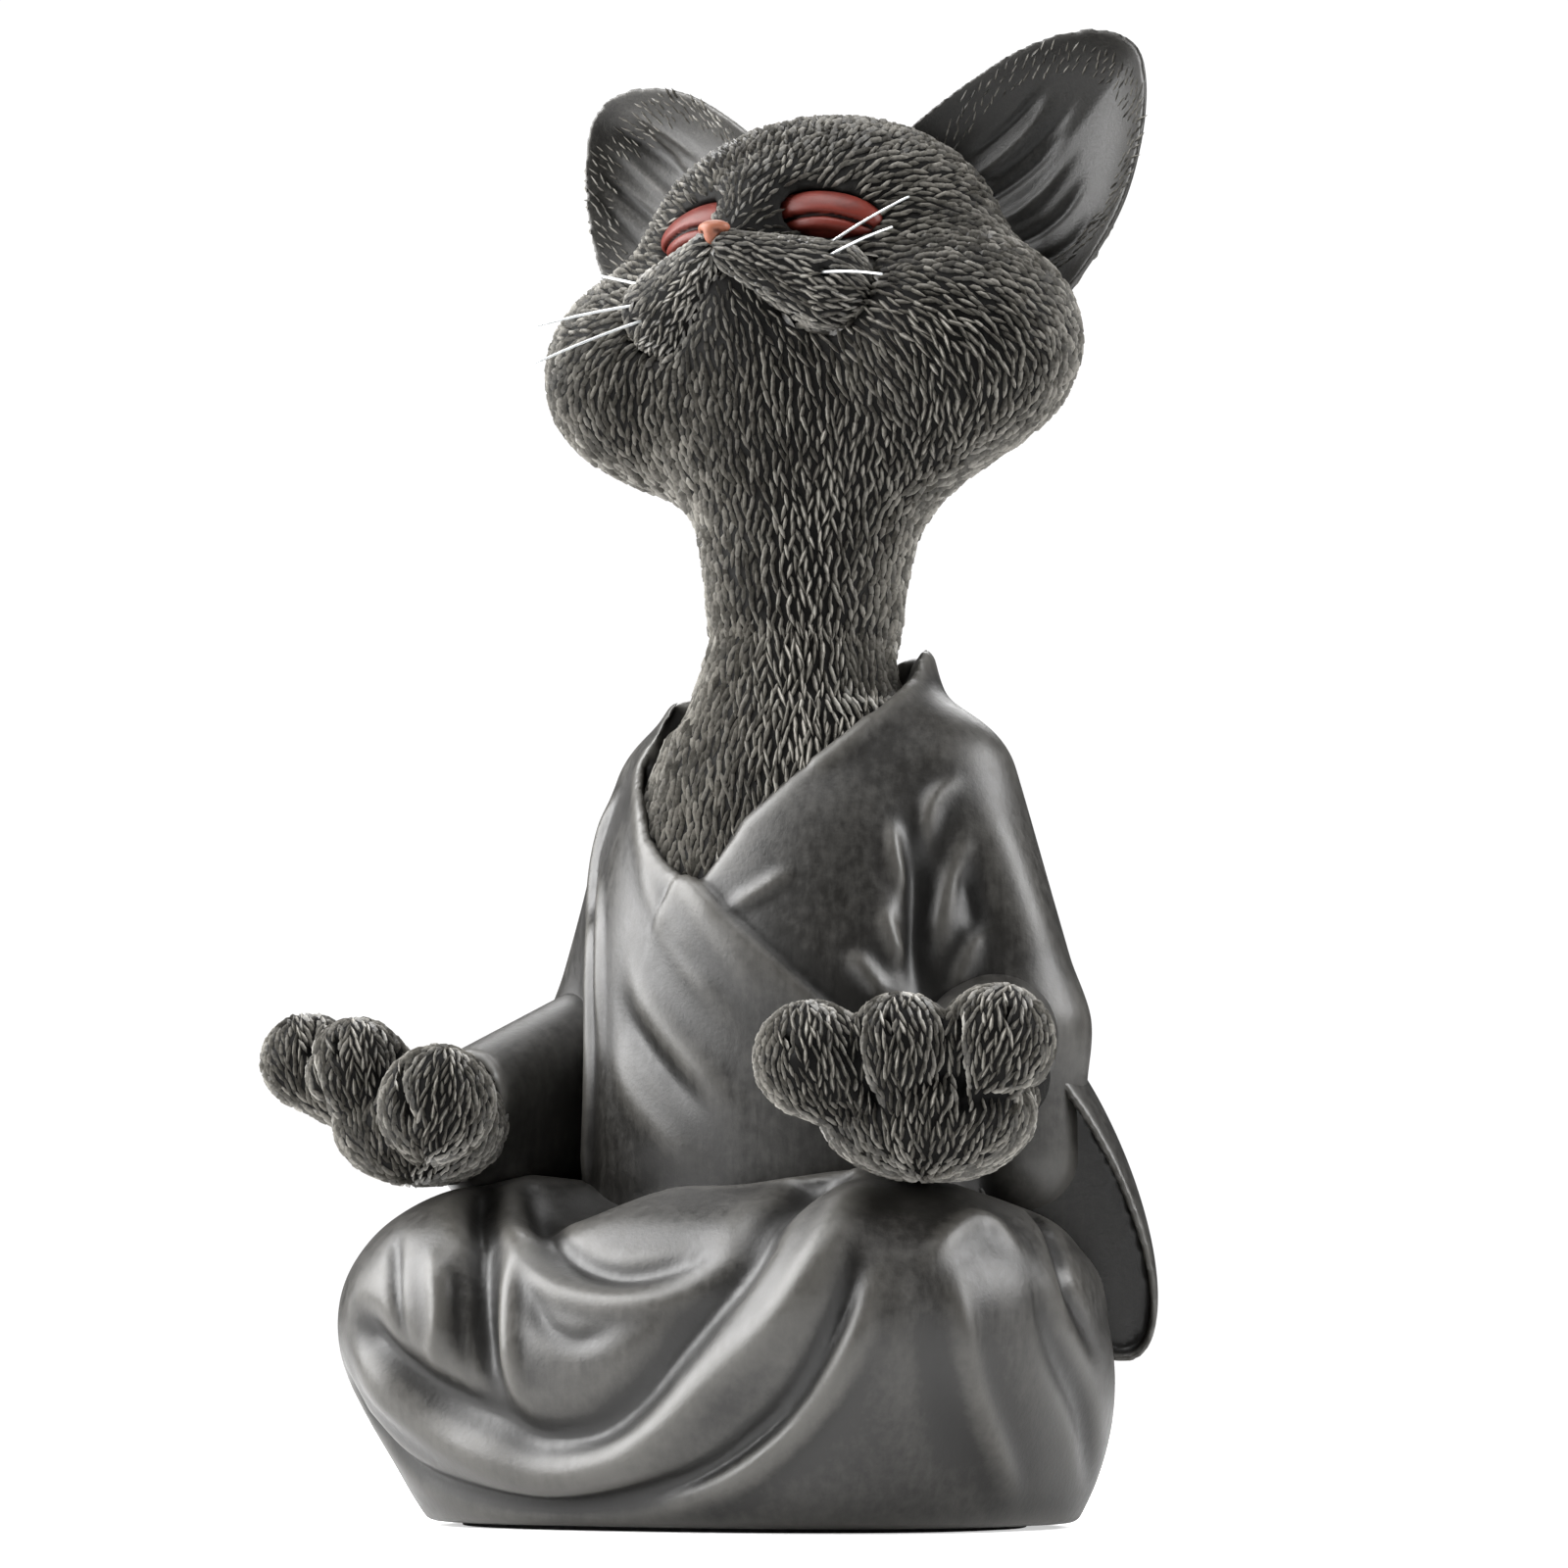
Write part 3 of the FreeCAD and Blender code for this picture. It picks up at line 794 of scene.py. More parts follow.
@dataclass(frozen=True)
class FurCoat:
    """Short carved strokes of fur laid side by side over a form, all leaning one way.

    Attributes:
        length: length of a stroke in millimetres.
        width: its width.
        height: how far its back stands out of the form.
        spacing: least distance between the middles of two strokes.
        stray: how far a stroke may turn from the flow, in radians.
        seed: picks the pattern.
    """

    length: float = 4.3
    width: float = 1.3
    height: float = 0.95
    spacing: float = 1.7
    stray: float = 0.4
    seed: int = 3

    def stroke(self) -> bpy.types.Object:
        """One stroke along X: a narrow closed leaf with its root sunk and its tip just clear of the form."""
        stations = ((-0.5, 0.0, 0.0, -0.5), (-0.2, 0.5, 0.9, -0.45), (0.14, 0.46, 1.0, -0.35),
                    (0.52, 0.0, 0.35, -0.1))
        points, crest = [], []
        for along, half, top, foot in stations:
            x = along * self.length
            if half:
                points += [(x, -half * self.width, foot * self.height), (x, 0.0, top * self.height),
                           (x, half * self.width, foot * self.height)]
                # Crest 0 at a stroke's feet gives painted shade there; crest 1 on its ridge gives the pale
                # back, partly dry-brush and partly painted highlight.
                crest += [0.0, 1.0, 0.0]
            else:
                points.append((x, 0.0, (top + foot) / 2 * self.height))
                crest.append(0.3 if along < 0 else 0.75)
        faces = [(0, 1, 2), (0, 2, 3), (0, 3, 1), (4, 5, 2, 1), (5, 6, 3, 2), (6, 4, 1, 3),
                 (7, 5, 4), (7, 6, 5), (7, 4, 6)]
        mesh = bpy.data.meshes.new("stroke")
        mesh.from_pydata([tuple(v * MM for v in p) for p in points], [], faces)
        made = put("stroke", mesh)
        store_number(made, "crest", np.array(crest))
        return made

    def tree(self) -> bpy.types.NodeTree:
        """The tree that lays strokes along the form's "flow", where its "fur" is 1, scaled by its "size"."""
        tree = bpy.data.node_groups.new("fur", "GeometryNodeTree")
        for name, kind in (("Geometry", "Geometry"), ("Stroke", "Object"), ("Spacing", "Float"),
                           ("Stray", "Float"), ("Seed", "Int"), ("Finish", "Material"), ("Ground", "Material")):
            tree.interface.new_socket(name, in_out="INPUT", socket_type="NodeSocket" + kind)
        tree.interface.new_socket("Geometry", in_out="OUTPUT", socket_type="NodeSocketGeometry")
        sheet = NodeSheet(tree)
        given = sheet.add("NodeGroupInput").outputs
        mask, size, flow = (
            sheet.add("GeometryNodeInputNamedAttribute", {"Name": name}, data_type=kind).outputs[0]
            for name, kind in (("fur", "FLOAT"), ("size", "FLOAT"), ("flow", "FLOAT_VECTOR")))
        spread = sheet.add("GeometryNodeDistributePointsOnFaces", {
            "Mesh": given["Geometry"], "Distance Min": given["Spacing"], "Density Max": 3.0e6,
            "Density Factor": mask, "Seed": given["Seed"]}, distribute_method="POISSON")
        shade = sheet.add("FunctionNodeRandomValue", {"Seed": 11}, data_type="FLOAT")
        tinted = sheet.add("GeometryNodeStoreNamedAttribute", {
            "Geometry": spread.outputs["Points"], "Name": "shade", "Value": shade.outputs[1]},
            data_type="FLOAT", domain="POINT")
        lean = sheet.add("FunctionNodeAxesToRotation", {0: spread.outputs["Normal"], 1: flow},
                         primary_axis="Z", secondary_axis="X")
        least = sheet.math("MULTIPLY", given["Stray"], -1.0)
        turn = sheet.add("FunctionNodeRandomValue", {2: least, 3: given["Stray"], "Seed": 5},
                         data_type="FLOAT")
        spin = sheet.add("FunctionNodeAxisAngleToRotation",
                         {"Axis": (0.0, 0.0, 1.0), "Angle": turn.outputs[1]})
        turned = sheet.add("FunctionNodeRotateRotation", {0: lean.outputs[0], 1: spin.outputs[0]},
                           rotation_space="LOCAL")
        uneven = sheet.add("FunctionNodeRandomValue", {0: (0.72, 0.78, 0.75), 1: (1.28, 1.2, 1.2), "Seed": 8},
                           data_type="FLOAT_VECTOR")
        scale = sheet.add("ShaderNodeVectorMath", {0: uneven.outputs[0], "Scale": size}, operation="SCALE")
        shape = sheet.add("GeometryNodeObjectInfo", {"Object": given["Stroke"], "As Instance": True})
        strokes = sheet.add("GeometryNodeInstanceOnPoints", {
            "Points": tinted.outputs[0], "Instance": shape.outputs["Geometry"], "Rotation": turned.outputs[0],
            "Scale": scale.outputs[0]})
        real = sheet.add("GeometryNodeRealizeInstances", {"Geometry": strokes.outputs[0]})
        joined = sheet.add("GeometryNodeJoinGeometry")
        for geometry, finish in ((real.outputs[0], "Finish"), (given["Geometry"], "Ground")):
            painted = sheet.add("GeometryNodeSetMaterial", {"Geometry": geometry, "Material": given[finish]})
            tree.links.new(painted.outputs[0], joined.inputs[0])
        sheet.add("NodeGroupOutput", {0: joined.outputs[0]})
        return tree

    def grow(self, piece: bpy.types.Object, paints: FurPaints) -> None:
        """Covers a piece with strokes and makes the result its mesh.

        Args:
            piece: a piece with "flow", "fur", "size", "tone" and "crest" stored on its points.
            paints: the finishes of strokes and form.
        """
        tree, stroke = self.tree(), self.stroke()
        settings = {"Stroke": stroke, "Spacing": self.spacing * MM, "Stray": self.stray, "Seed": self.seed,
                    "Finish": paints.stroke, "Ground": paints.ground}
        modifier = piece.modifiers.new("fur", "NODES")
        modifier.node_group = tree
        for item in tree.interface.items_tree:
            if item.in_out == "INPUT" and item.name in settings:
                modifier[item.identifier] = settings[item.name]
        piece.update_tag()
        graph = bpy.context.evaluated_depsgraph_get()
        grown = bpy.data.meshes.new_from_object(piece.evaluated_get(graph), preserve_all_data_layers=True,
                                                depsgraph=graph)
        piece.modifiers.clear()
        bald = piece.data
        piece.data = grown
        bpy.data.meshes.remove(bald)
        bpy.data.objects.remove(stroke)
        bpy.data.node_groups.remove(tree)


def furred(name: str, skin: Skin, flow: np.ndarray, coat: FurCoat, paints: FurPaints,
           where: np.ndarray | float = 1.0, size: np.ndarray | float = 1.0,
           painted_light: np.ndarray | float = 0.0) -> bpy.types.Object:
    """Makes a furred piece from a skin.

    Args:
        name: the piece's name.
        skin: its form.
        flow: the way the fur lies at each point.
        coat: the fur.
        paints: its finishes.
        where: 1 where fur grows, 0 where it doesn't.
        size: how large the strokes are, 1 as the coat says.
        painted_light: how much paler than usual the paint is, from -1 to 1.

    Returns:
        The piece.
    """
    normals = skin.normals()
    flow = flow - normals * np.einsum("ij,ij->i", flow, normals)[:, None]
    piece = skin.to_object(name)
    count = len(skin.points)
    store_vector(piece, "flow", unit(flow))
    # The stored paleness lays painted light where it is above 0 and painted shade where it is below.
    for stored, values in (("fur", where), ("size", size), ("painted_light", painted_light), ("crest", exposure(skin)),
                           ("shade", 0.5)):
        store_number(piece, stored, np.broadcast_to(values, count))
    coat.grow(piece, paints)
    return piece


# --- robe --------------------------------------------------------------------------------------------------
# The opening of the robe and its folds, as lines across and up from the front sightline.
OPENING = ((-9.4, 160.2), (-12.8, 154.7), (-16.2, 147.1), (-16.6, 142.4), (-15.2, 133.5), (-11.8, 128.0),
           (-6.3, 123.4), (3.3, 136.4), (12.8, 145.2), (26.4, 156.0), (36.2, 165.0), (38.0, 171.0),
           (38.0, 186.0), (-9.0, 186.0))
TORSO_FOLDS = (
    Fold(((-6.0, 124.7), (-0.8, 119.3), (6.0, 113.0), (12.8, 106.8), (19.0, 101.0), (27.0, 94.5)), 10.0, 1.9,
         Edge.STEP, taper=0.02, sharp=0.6),
    Fold(((38.0, 168.0), (26.4, 156.0), (12.8, 145.2), (3.3, 136.4), (-4.0, 128.0)), 2.6, 0.9, taper=0.08),
    Fold(((-12.5, 154.7), (-17.0, 147.0), (-17.4, 141.5), (-16.0, 133.0), (-12.4, 127.4), (-6.3, 122.6),
          (0.0, 116.8)), 2.4, 0.8, taper=0.1),
    Fold(((37.5, 140.2), (37.3, 122.5), (37.1, 113.0), (37.4, 96.0)), 3.4, 3.0, Edge.VALLEY),
    Fold(((31.6, 138.0), (32.3, 130.7), (34.0, 125.3), (35.7, 119.8)), 1.6, 1.5),
    Fold(((30.2, 120.8), (31.6, 114.3), (35.0, 107.5)), 1.8, 1.4),
    Fold(((22.5, 112.5), (27.2, 106.8), (32.0, 100.5)), 2.0, 1.5),
    Fold(((46.6, 146.1), (40.8, 141.7), (39.0, 137.6), (38.4, 130.7), (37.8, 122.0)), 1.9, 1.6),
    Fold(((47.0, 137.2), (44.6, 128.0), (42.2, 119.8), (40.5, 106.9)), 2.2, 1.4),
    Fold(((52.1, 118.4), (47.0, 110.9), (42.9, 99.7)), 2.3, 1.5),
    Fold(((47.0, 145.1), (53.1, 132.1), (58.6, 116.4), (62.0, 104.0)), 6.0, 1.6),
    Fold(((44.5, 132.0), (47.5, 121.0), (50.5, 108.0)), 2.6, 1.3, Edge.VALLEY),
    Fold(((-1.5, 118.6), (5.3, 122.5), (13.8, 127.9)), 1.5, 0.9),
    Fold(((-20.3, 144.7), (-24.8, 130.1), (-26.1, 109.6), (-26.1, 85.6), (-26.8, 60.9)), 6.0, 1.8,
         Edge.STEP, taper=0.12, sharp=0.9),
    Fold(((-24.0, 135.5), (-24.8, 119.8), (-25.0, 106.1), (-24.6, 85.0)), 1.8, 1.1),
    Fold(((-20.0, 114.0), (-17.2, 104.1), (-12.5, 96.6), (-4.9, 87.7), (4.6, 76.8)), 3.2, 1.0),
    Fold(((-21.5, 106.0), (-18.5, 96.5), (-12.0, 87.5), (-3.0, 78.0)), 2.6, 0.9, Edge.VALLEY),
    Fold(((-22.6, 96.8), (-19.3, 84.3), (-12.5, 75.4), (-2.2, 67.3)), 3.2, 0.9),
    Fold(((-13.8, 121.8), (-9.7, 113.0), (-2.2, 104.1)), 1.6, 0.6, Edge.VALLEY),
    Fold(((-9.0, 124.5), (-0.8, 113.0), (8.7, 101.0)), 3.0, 0.7),
    Fold(((-17.9, 137.5), (-14.5, 122.5), (-6.3, 107.5), (3.3, 93.9)), 2.8, 0.9),
)
LAP_FOLDS = (
    Fold(((25.6, 71.0), (10.0, 61.7), (2.7, 50.2), (-9.9, 34.4), (-18.3, 23.9), (-26.7, 17.6), (-37.2, 16.6),
          (-45.6, 20.8), (-57.2, 26.0), (-66.6, 33.4), (-73.9, 41.7)), 4.6, 3.6, Edge.VALLEY, taper=0.08),
    Fold(((26.3, 67.0), (17.3, 51.2), (9.0, 38.6), (-3.6, 26.0), (-18.3, 13.5), (-35.1, 9.3), (-50.9, 14.5),
          (-66.6, 26.0), (-73.4, 35.4)), 4.8, 2.4, taper=0.1),
    Fold(((25.6, 56.4), (22.1, 42.8), (14.2, 27.1), (4.8, 16.6), (-9.9, 7.7), (-33.0, 3.4), (-56.1, 8.2),
          (-67.6, 18.6), (-74.5, 31.2)), 2.8, 2.4, Edge.VALLEY, taper=0.1),
    Fold(((28.2, 53.2), (26.0, 38.5), (17.3, 22.8), (3.6, 10.5), (-18.3, 1.0)), 2.6, 2.0),
    Fold(((23.6, 60.7), (17.3, 47.0), (7.9, 34.4), (-4.7, 21.8), (-18.3, 11.5)), 1.3, 1.0, Edge.VALLEY),
    Fold(((36.3, 47.0), (43.0, 55.9), (49.9, 59.0), (59.3, 50.2)), 2.8, 1.6),
    Fold(((43.2, 55.2), (45.4, 39.7), (47.2, 27.1), (52.5, 12.4), (57.2, 2.0)), 3.0, 1.7),
    Fold(((38.5, 52.0), (39.0, 36.0), (42.0, 20.0), (46.0, 5.0)), 4.5, 1.4, Edge.VALLEY),
    Fold(((58.3, 53.2), (62.5, 36.5), (68.8, 21.8), (70.9, 6.2)), 3.6, 1.4, Edge.VALLEY),
    Fold(((52.0, 68.0), (62.0, 57.5), (66.7, 43.9), (72.5, 30.0)), 2.4, 1.8, Edge.VALLEY),
    Fold(((-40.4, 70.0), (-36.2, 59.6), (-30.9, 52.3), (-21.5, 48.6), (-9.9, 50.2), (4.7, 55.4)), 2.6, 2.2,
         Edge.VALLEY),
    Fold(((-43.5, 60.6), (-37.2, 48.1), (-26.7, 43.4), (-14.1, 43.4), (1.5, 48.5)), 2.6, 1.3),
    Fold(((-46.0, 70.9), (-47.9, 50.0), (-47.2, 32.2), (-42.4, 17.6)), 3.4, 3.8, Edge.VALLEY, taper=0.25),
    Fold(((-41.2, 55.3), (-42.6, 36.5), (-39.9, 20.8)), 2.2, 1.5),
    Fold(((-57.6, 55.2), (-56.1, 40.7), (-58.2, 27.1)), 2.0, 1.5),
    Fold(((-52.2, 55.0), (-52.0, 38.0), (-50.0, 24.0)), 1.8, 1.2, Edge.VALLEY),
    Fold(((-64.5, 57.4), (-64.0, 40.7), (-60.3, 30.3)), 1.6, 1.2, Edge.VALLEY),
    Fold(((-37.2, 47.0), (-36.2, 39.7), (-29.9, 35.8), (-20.4, 37.8)), 1.8, 0.9, Edge.VALLEY),
)


def torso_form(clay: Clay) -> np.ndarray:
    """The robe over torso and upper arms, as distances on any block of clay."""
    rows = ((36, 44, -8, 50), (60, 44, -9, 59), (90, 43, -9, 62), (118, 42, -7, 60), (138, 38, -2, 57),
            (150, 33.5, 3, 55), (160, 29.8, 6, 54.5), (167, 26.4, 7, 54), (173, 24.6, 7, 54),
            (179, 24.0, 8, 53))
    form = clay.column(rows, 2.2)
    for side, shoulder, elbow in ((1, 30.1, 45.4), (-1, 29.5, 46.0)):
        upper = clay.limb((side * shoulder, 32, 144), (side * elbow, 32, 96), 14.8, 14.8)
        lower = clay.limb((side * 45, 32, 96), (side * 46, 34, 72), 14.6, 13.4)
        form = smooth_join(smooth_join(form, upper, 9.0), lower, 4.0)
    return form


@dataclass
class Robe:
    """The robe over the torso and the crossed legs: two modelled skins that meet at the waist."""

    step: float = 0.95
    lap: tuple[tuple[float, float, float, float], ...] = (
        (0.4, 64, -40, 57), (8, 68, -45, 60), (22, 73, -49, 60), (38, 73.5, -49, 57), (52, 69, -42, 52),
        (61, 56, -33, 44), (65, 40, -24, 36),
    )
    neck: tuple[float, float] = (0.0, 29.0)
    collar_radius: float = 18.8
    collar_height: float = 168.4
    collar_slope: float = -0.22
    recess: float = 3.4
    deepens_above: float = 146.0
    knee: Point = (42.5, -10.5, 40.0)
    knee_radii: Point = (32.0, 38.0, 27.0)
    resting_face: float = 0.6

    def torso_clay(self) -> Clay:
        """The torso with the upper arms, open at the neckline."""
        clay = Clay((-66, -18, 34), (66, 74, 182), self.step)
        clay.add(torso_form(clay))
        across, up, toward = clay.seen(VIEW)
        wedge = np.maximum(clay.outline(across, up, np.array(OPENING)), -(toward + 27.0))
        recess = self.recess + 4.0 * np.maximum(clay.points[2] - self.deepens_above, 0.0)
        clay.cut(np.maximum(wedge, -(clay.distance + recess)), 0.9)
        clay.keep(clay.half((*self.neck, self.collar_height), (self.collar_slope, 0.0, 1.0)), 2.4)
        bore = clay.limb((*self.neck, 150), (*self.neck, 190), self.collar_radius, self.collar_radius)
        clay.cut(bore, 1.2)
        return clay

    def lap_clay(self) -> Clay:
        """The lap with both knees."""
        clay = Clay((-82, -66, -3), (82, 66, 76), self.step)
        clay.add(clay.column(self.lap, 2.4))
        x, y, z = self.knee
        for side in SIDES:
            clay.add(clay.ball((side * x, y, z), self.knee_radii), 10.0)
        clay.cut(clay.ball((-21, -26, 83), (24, 32, 26)), 8.0)
        clay.keep(clay.half((0, 0, self.resting_face), (0, 0, -1)), 1.4)
        return clay

    def build(self, paint: bpy.types.Material) -> None:
        """Models, folds and paints both skins."""
        for name, clay, folds in (("robe_torso", self.torso_clay(), TORSO_FOLDS),
                                  ("robe_lap", self.lap_clay(), LAP_FOLDS)):
            skin = clay.surface()
            skin.relax(2)
            skin.press(clay, folds)
            skin.relax(1)
            piece = skin.to_object(name)
            # The crest gives the robe paint its painted shade in the creases and painted highlight on the fold
            # crests.
            store_number(piece, "crest", exposure(skin, 45, 0.85))
            finish_piece(piece, paint, "robe_paint", "robe_body")


@dataclass
class Sleeve:
    """A wide sleeve: a forearm tube and the bag that hangs from it, hollow at the mouth."""

    side: int
    step: float = 0.8
    wall: float = 2.4
    bag_wall: float = 1.6
    bag: Point = (13.0, 20.0, 40.0)
    tube_depth: float = 24.0

    def clay(self) -> Clay:
        """The sleeve's form."""
        s = self.side
        clay = Clay.beside(s, (24.0, 86.0), (-26, 24), (64, 118), self.step)
        wrist = (s * 55.0, -14, 82 if s > 0 else 80)
        tube = clay.limb((s * 44.0, 34, 98), wrist, 13.6, 10.9)
        tube_front = clay.half((s * 57, -13, 84), (0, -1, 0.15))
        down = unit(np.array([s * 0.40, 0.05, -0.92]))
        out = unit(np.cross(np.array([0.0, 1.0, 0.0]), down) * -s)
        bag_axes = np.array([out, np.cross(down, out), down])
        centre = (s * 53.5, 33, 68)
        bag = clay.ball(centre, self.bag, bag_axes)
        bag_front = clay.half((s * 55, 27, 68), (s * 0.53, -0.84, -0.06))
        arm = np.maximum(tube, tube_front)
        if s < 0:
            slack = clay.limb((-45, 34, 84), (-53, -2, 72), 15.0, 11.0)
            arm = smooth_join(arm, np.maximum(slack, tube_front), 6.0)
        clay.add(smooth_join(arm, np.maximum(bag, bag_front), 4.0))
        inner_tube = np.maximum(tube + self.wall, -(tube_front + self.tube_depth))
        inner_radii = tuple(radius - self.bag_wall for radius in self.bag)
        inner_bag = np.maximum(clay.ball(centre, inner_radii, bag_axes), -(bag_front + 3.0))
        clay.cut(smooth_join(inner_tube, inner_bag, 3.0), 1.2)
        return clay

    def build(self, paint: bpy.types.Material) -> None:
        """Models and paints the sleeve."""
        skin = self.clay().surface()
        skin.relax(2)
        name = SIDES[self.side] + "_sleeve"
        piece = skin.to_object(name + "_cloth")
        # The crest gives the robe paint its painted shade in the creases and painted highlight on the fold
        # crests.
        store_number(piece, "crest", exposure(skin))
        finish_piece(piece, paint, "robe_paint", name)


# --- head --------------------------------------------------------------------------------------------------
def pad_form(clay: Clay, side: int, swell: float = 0.0) -> np.ndarray:
    """A whisker pad, as distances on any block of clay, swollen by that much."""
    end = (side * 18.5, 7.4, 241.6 if side > 0 else 240.0)
    return clay.limb((side * 2.4, -3.6, 248.6), end, 3.9 + swell, 9.2 + swell)


def eye_axes(side: int) -> np.ndarray:
    """The directions along a closed eye, up its lid and out of the face, as rows."""
    along = unit(np.array([side * 0.96, 0.23, -0.155]))
    out = np.array([side * 0.22, -0.80, 0.55])
    out = unit(out - along * (out @ along))
    up = np.cross(out, along) * side
    return np.array([along, up, out])


@dataclass
class Head:
    """The head and neck with the furred chest, the whisker pads, the closed eyes and the nose."""

    step: float = 1.0
    eye_place: Point = (14.8, 12.4, 257.2)
    eye_radii: Point = (11.6, 5.2, 4.8)
    bare_radii: Point = (12.4, 6.4, 7.0)
    nose_tip: Point = (0.0, -6.0, 251.0)
    pad_gap: float = 0.7
    whisker_hole: float = 0.95
    slit: Outline = ((7.4, 252.9), (12.6, 256.0), (18.6, 256.8), (24.2, 255.6), (29.2, 253.4))
    lower_lid: Outline = ((8.4, 251.6), (13.0, 254.0), (18.6, 254.7), (24.2, 253.6), (28.7, 251.7))

    def eye_centre(self, side: int) -> np.ndarray:
        """The middle of an eye."""
        x, y, z = self.eye_place
        return np.array([side * x, y, z])

    def head_clay(self) -> Clay:
        """The head's and neck's form under the fur."""
        clay = Clay((-66, -14, 154), (66, 70, 286), self.step)
        clay.add(clay.ball((0, 36, 253.5), (39, 27, 28)))
        tilt = np.array([[1.0, 0.0, 0.0], [0.0, 0.94, 0.34], [0.0, -0.34, 0.94]])
        for side in SIDES:
            clay.add(clay.ball((side * 31.5, 31, 232.3), (26.6, 26, 22.6), tilt), 9.0)
        clay.add(clay.ball((0, 22, 236), (30, 21, 22)), 8.0)
        clay.add(clay.limb((0, -0.5, 248.5), (0, 14, 259), 4.5, 9.0), 7.0)
        clay.add(clay.ball((0, 33, 220), (36, 24, 20)), 12.0)
        clay.add(clay.limb((0, 31, 210), (0, 29, 184), 24.0, 17.4), 12.0)
        clay.add(clay.limb((0, 29, 192), (0, 29, 140), 17.3, 16.6), 8.0)
        for side in SIDES:
            clay.cut(clay.ball(tuple(self.eye_centre(side)), (12.0, 5.6, 3.6), eye_axes(side)), 1.2)
            clay.cut(pad_form(clay, side, self.pad_gap), 0.6)
        clay.add(clay.ball((0, 4.0, 240.5), (8, 6.0, 6.0)), 5.0)
        clay.cut(clay.limb((0, -6.0, 245.8), (0, 2.0, 243.2), 0.8, 1.5), 0.6)
        return clay

    def chest_clay(self) -> Clay:
        """The furred chest inside the robe's opening, with the foot of the neck."""
        clay = Clay((-42, -14, 112), (42, 62, 186), self.step)
        chest = torso_form(clay) + 2.7
        across, up, toward = clay.seen(VIEW)
        wedge = clay.outline(across, up, np.array(OPENING)) - 1.5
        chest = np.maximum(np.maximum(chest, wedge), -(toward + 26.0))
        clay.add(np.maximum(chest, clay.half((0, 29, 158), (-0.12, -0.1, 1))))
        clay.add(clay.limb((-1, 26, 146), (0, 29, 182), 24.0, 15.9), 7.0)
        clay.keep(clay.half((0, 0, 181.0), (0, 0, 1)))
        return clay

    def flow(self, points: np.ndarray) -> np.ndarray:
        """The way the fur lies: away from the nose, then down the throat, the chest and the back."""
        away = unit(points - np.array(self.nose_tip))
        down = np.tile(np.array([0.0, 0.0, -1.0]), (len(points), 1))
        low = np.clip((238.0 - points[:, 2]) / 22.0, 0.0, 1.0)
        back = np.clip((points[:, 1] - 38.0) / 16.0, 0.0, 1.0)
        share = np.maximum(low, back)[:, None]
        return away * (1.0 - share) + down * share

    def build(self, fur: FurPaints, lid_paint: bpy.types.Material, nose_paint: bpy.types.Material,
              nylon: bpy.types.Material) -> None:
        """Builds every piece of the head."""
        self.form("head_form", self.head_clay(), FurCoat(), fur, (170.0, 300.0))
        self.form("chest_form", self.chest_clay(), FurCoat(length=5.4, seed=9), fur, (118.0, 178.0))
        for side in SIDES:
            self.pad(side, fur, nylon)
            self.eye(side, lid_paint)
        self.nose(nose_paint)

    def form(self, name: str, clay: Clay, coat: FurCoat, paints: FurPaints,
             foot: tuple[float, float]) -> None:
        """Models a furred form that stands for the head node.

        Args:
            name: the piece's name.
            clay: its form.
            coat: its fur.
            paints: its finishes.
            foot: heights between which fur grows.
        """
        skin = clay.surface()
        skin.relax(1)
        points = skin.points
        bald = np.zeros(len(points))
        for side in SIDES:
            local = (points - self.eye_centre(side)) @ eye_axes(side).T / np.array(self.bare_radii)
            bald = np.maximum(bald, np.linalg.norm(local, axis=1) < 1.0)
        near = np.linalg.norm(points - np.array(self.nose_tip), axis=1)
        size = np.clip(0.5 + near / 60.0, 0.5, 1.0)
        grows = (1.0 - bald) * (points[:, 2] > foot[0]) * (points[:, 2] < foot[1])
        # Paler down the throat, neck and chest: painted light.
        painted_light = 0.35 * np.clip((240.0 - points[:, 2]) / 45.0, 0.0, 1.0)
        piece = furred(name, skin, self.flow(points), coat, paints, grows, size, painted_light)
        finish_piece(piece, paints.stroke, "fur_paint", "head_and_neck")

    def pad(self, side: int, paints: FurPaints, nylon: bpy.types.Material) -> None:
        """Models a whisker pad with its three whiskers in drilled holes."""
        clay = Clay.beside(side, (-3.5, 30.0), (-12, 226), (22, 256), 0.6)
        clay.add(pad_form(clay, side))
        clay.keep(clay.half((side * 0.35, 0, 0), (-side, 0, 0)), 1.2)
        whiskers = [Whisker(side, level) for level in Level]
        roots = [whisker.root(clay) for whisker in whiskers]
        for whisker, root in zip(whiskers, roots):
            run = unit(whisker.direction)
            ends = tuple(root - run * 2.5), tuple(root + run * 2.0)
            clay.cut(clay.limb(*ends, self.whisker_hole, self.whisker_hole), 0.2)
        skin = clay.surface()
        skin.relax(1)
        away = skin.points - np.array(self.nose_tip) + np.array([0.0, 0.0, 1.5])
        clear = np.min([np.linalg.norm(skin.points - root, axis=1) for root in roots], axis=0)
        coat = FurCoat(length=3.4, width=1.15, height=0.5, spacing=1.3, seed=21)
        # Fur stops short of each whisker root, so the near-black ground shows round the hole as painted shade.
        piece = furred(SIDES[side] + "_pad", skin, away, coat, paints, clear > 1.7)
        finish_piece(piece, paints.stroke, "fur_paint", SIDES[side] + "_whisker_pad")
        for whisker, root in zip(whiskers, roots):
            whisker.build(root, nylon)

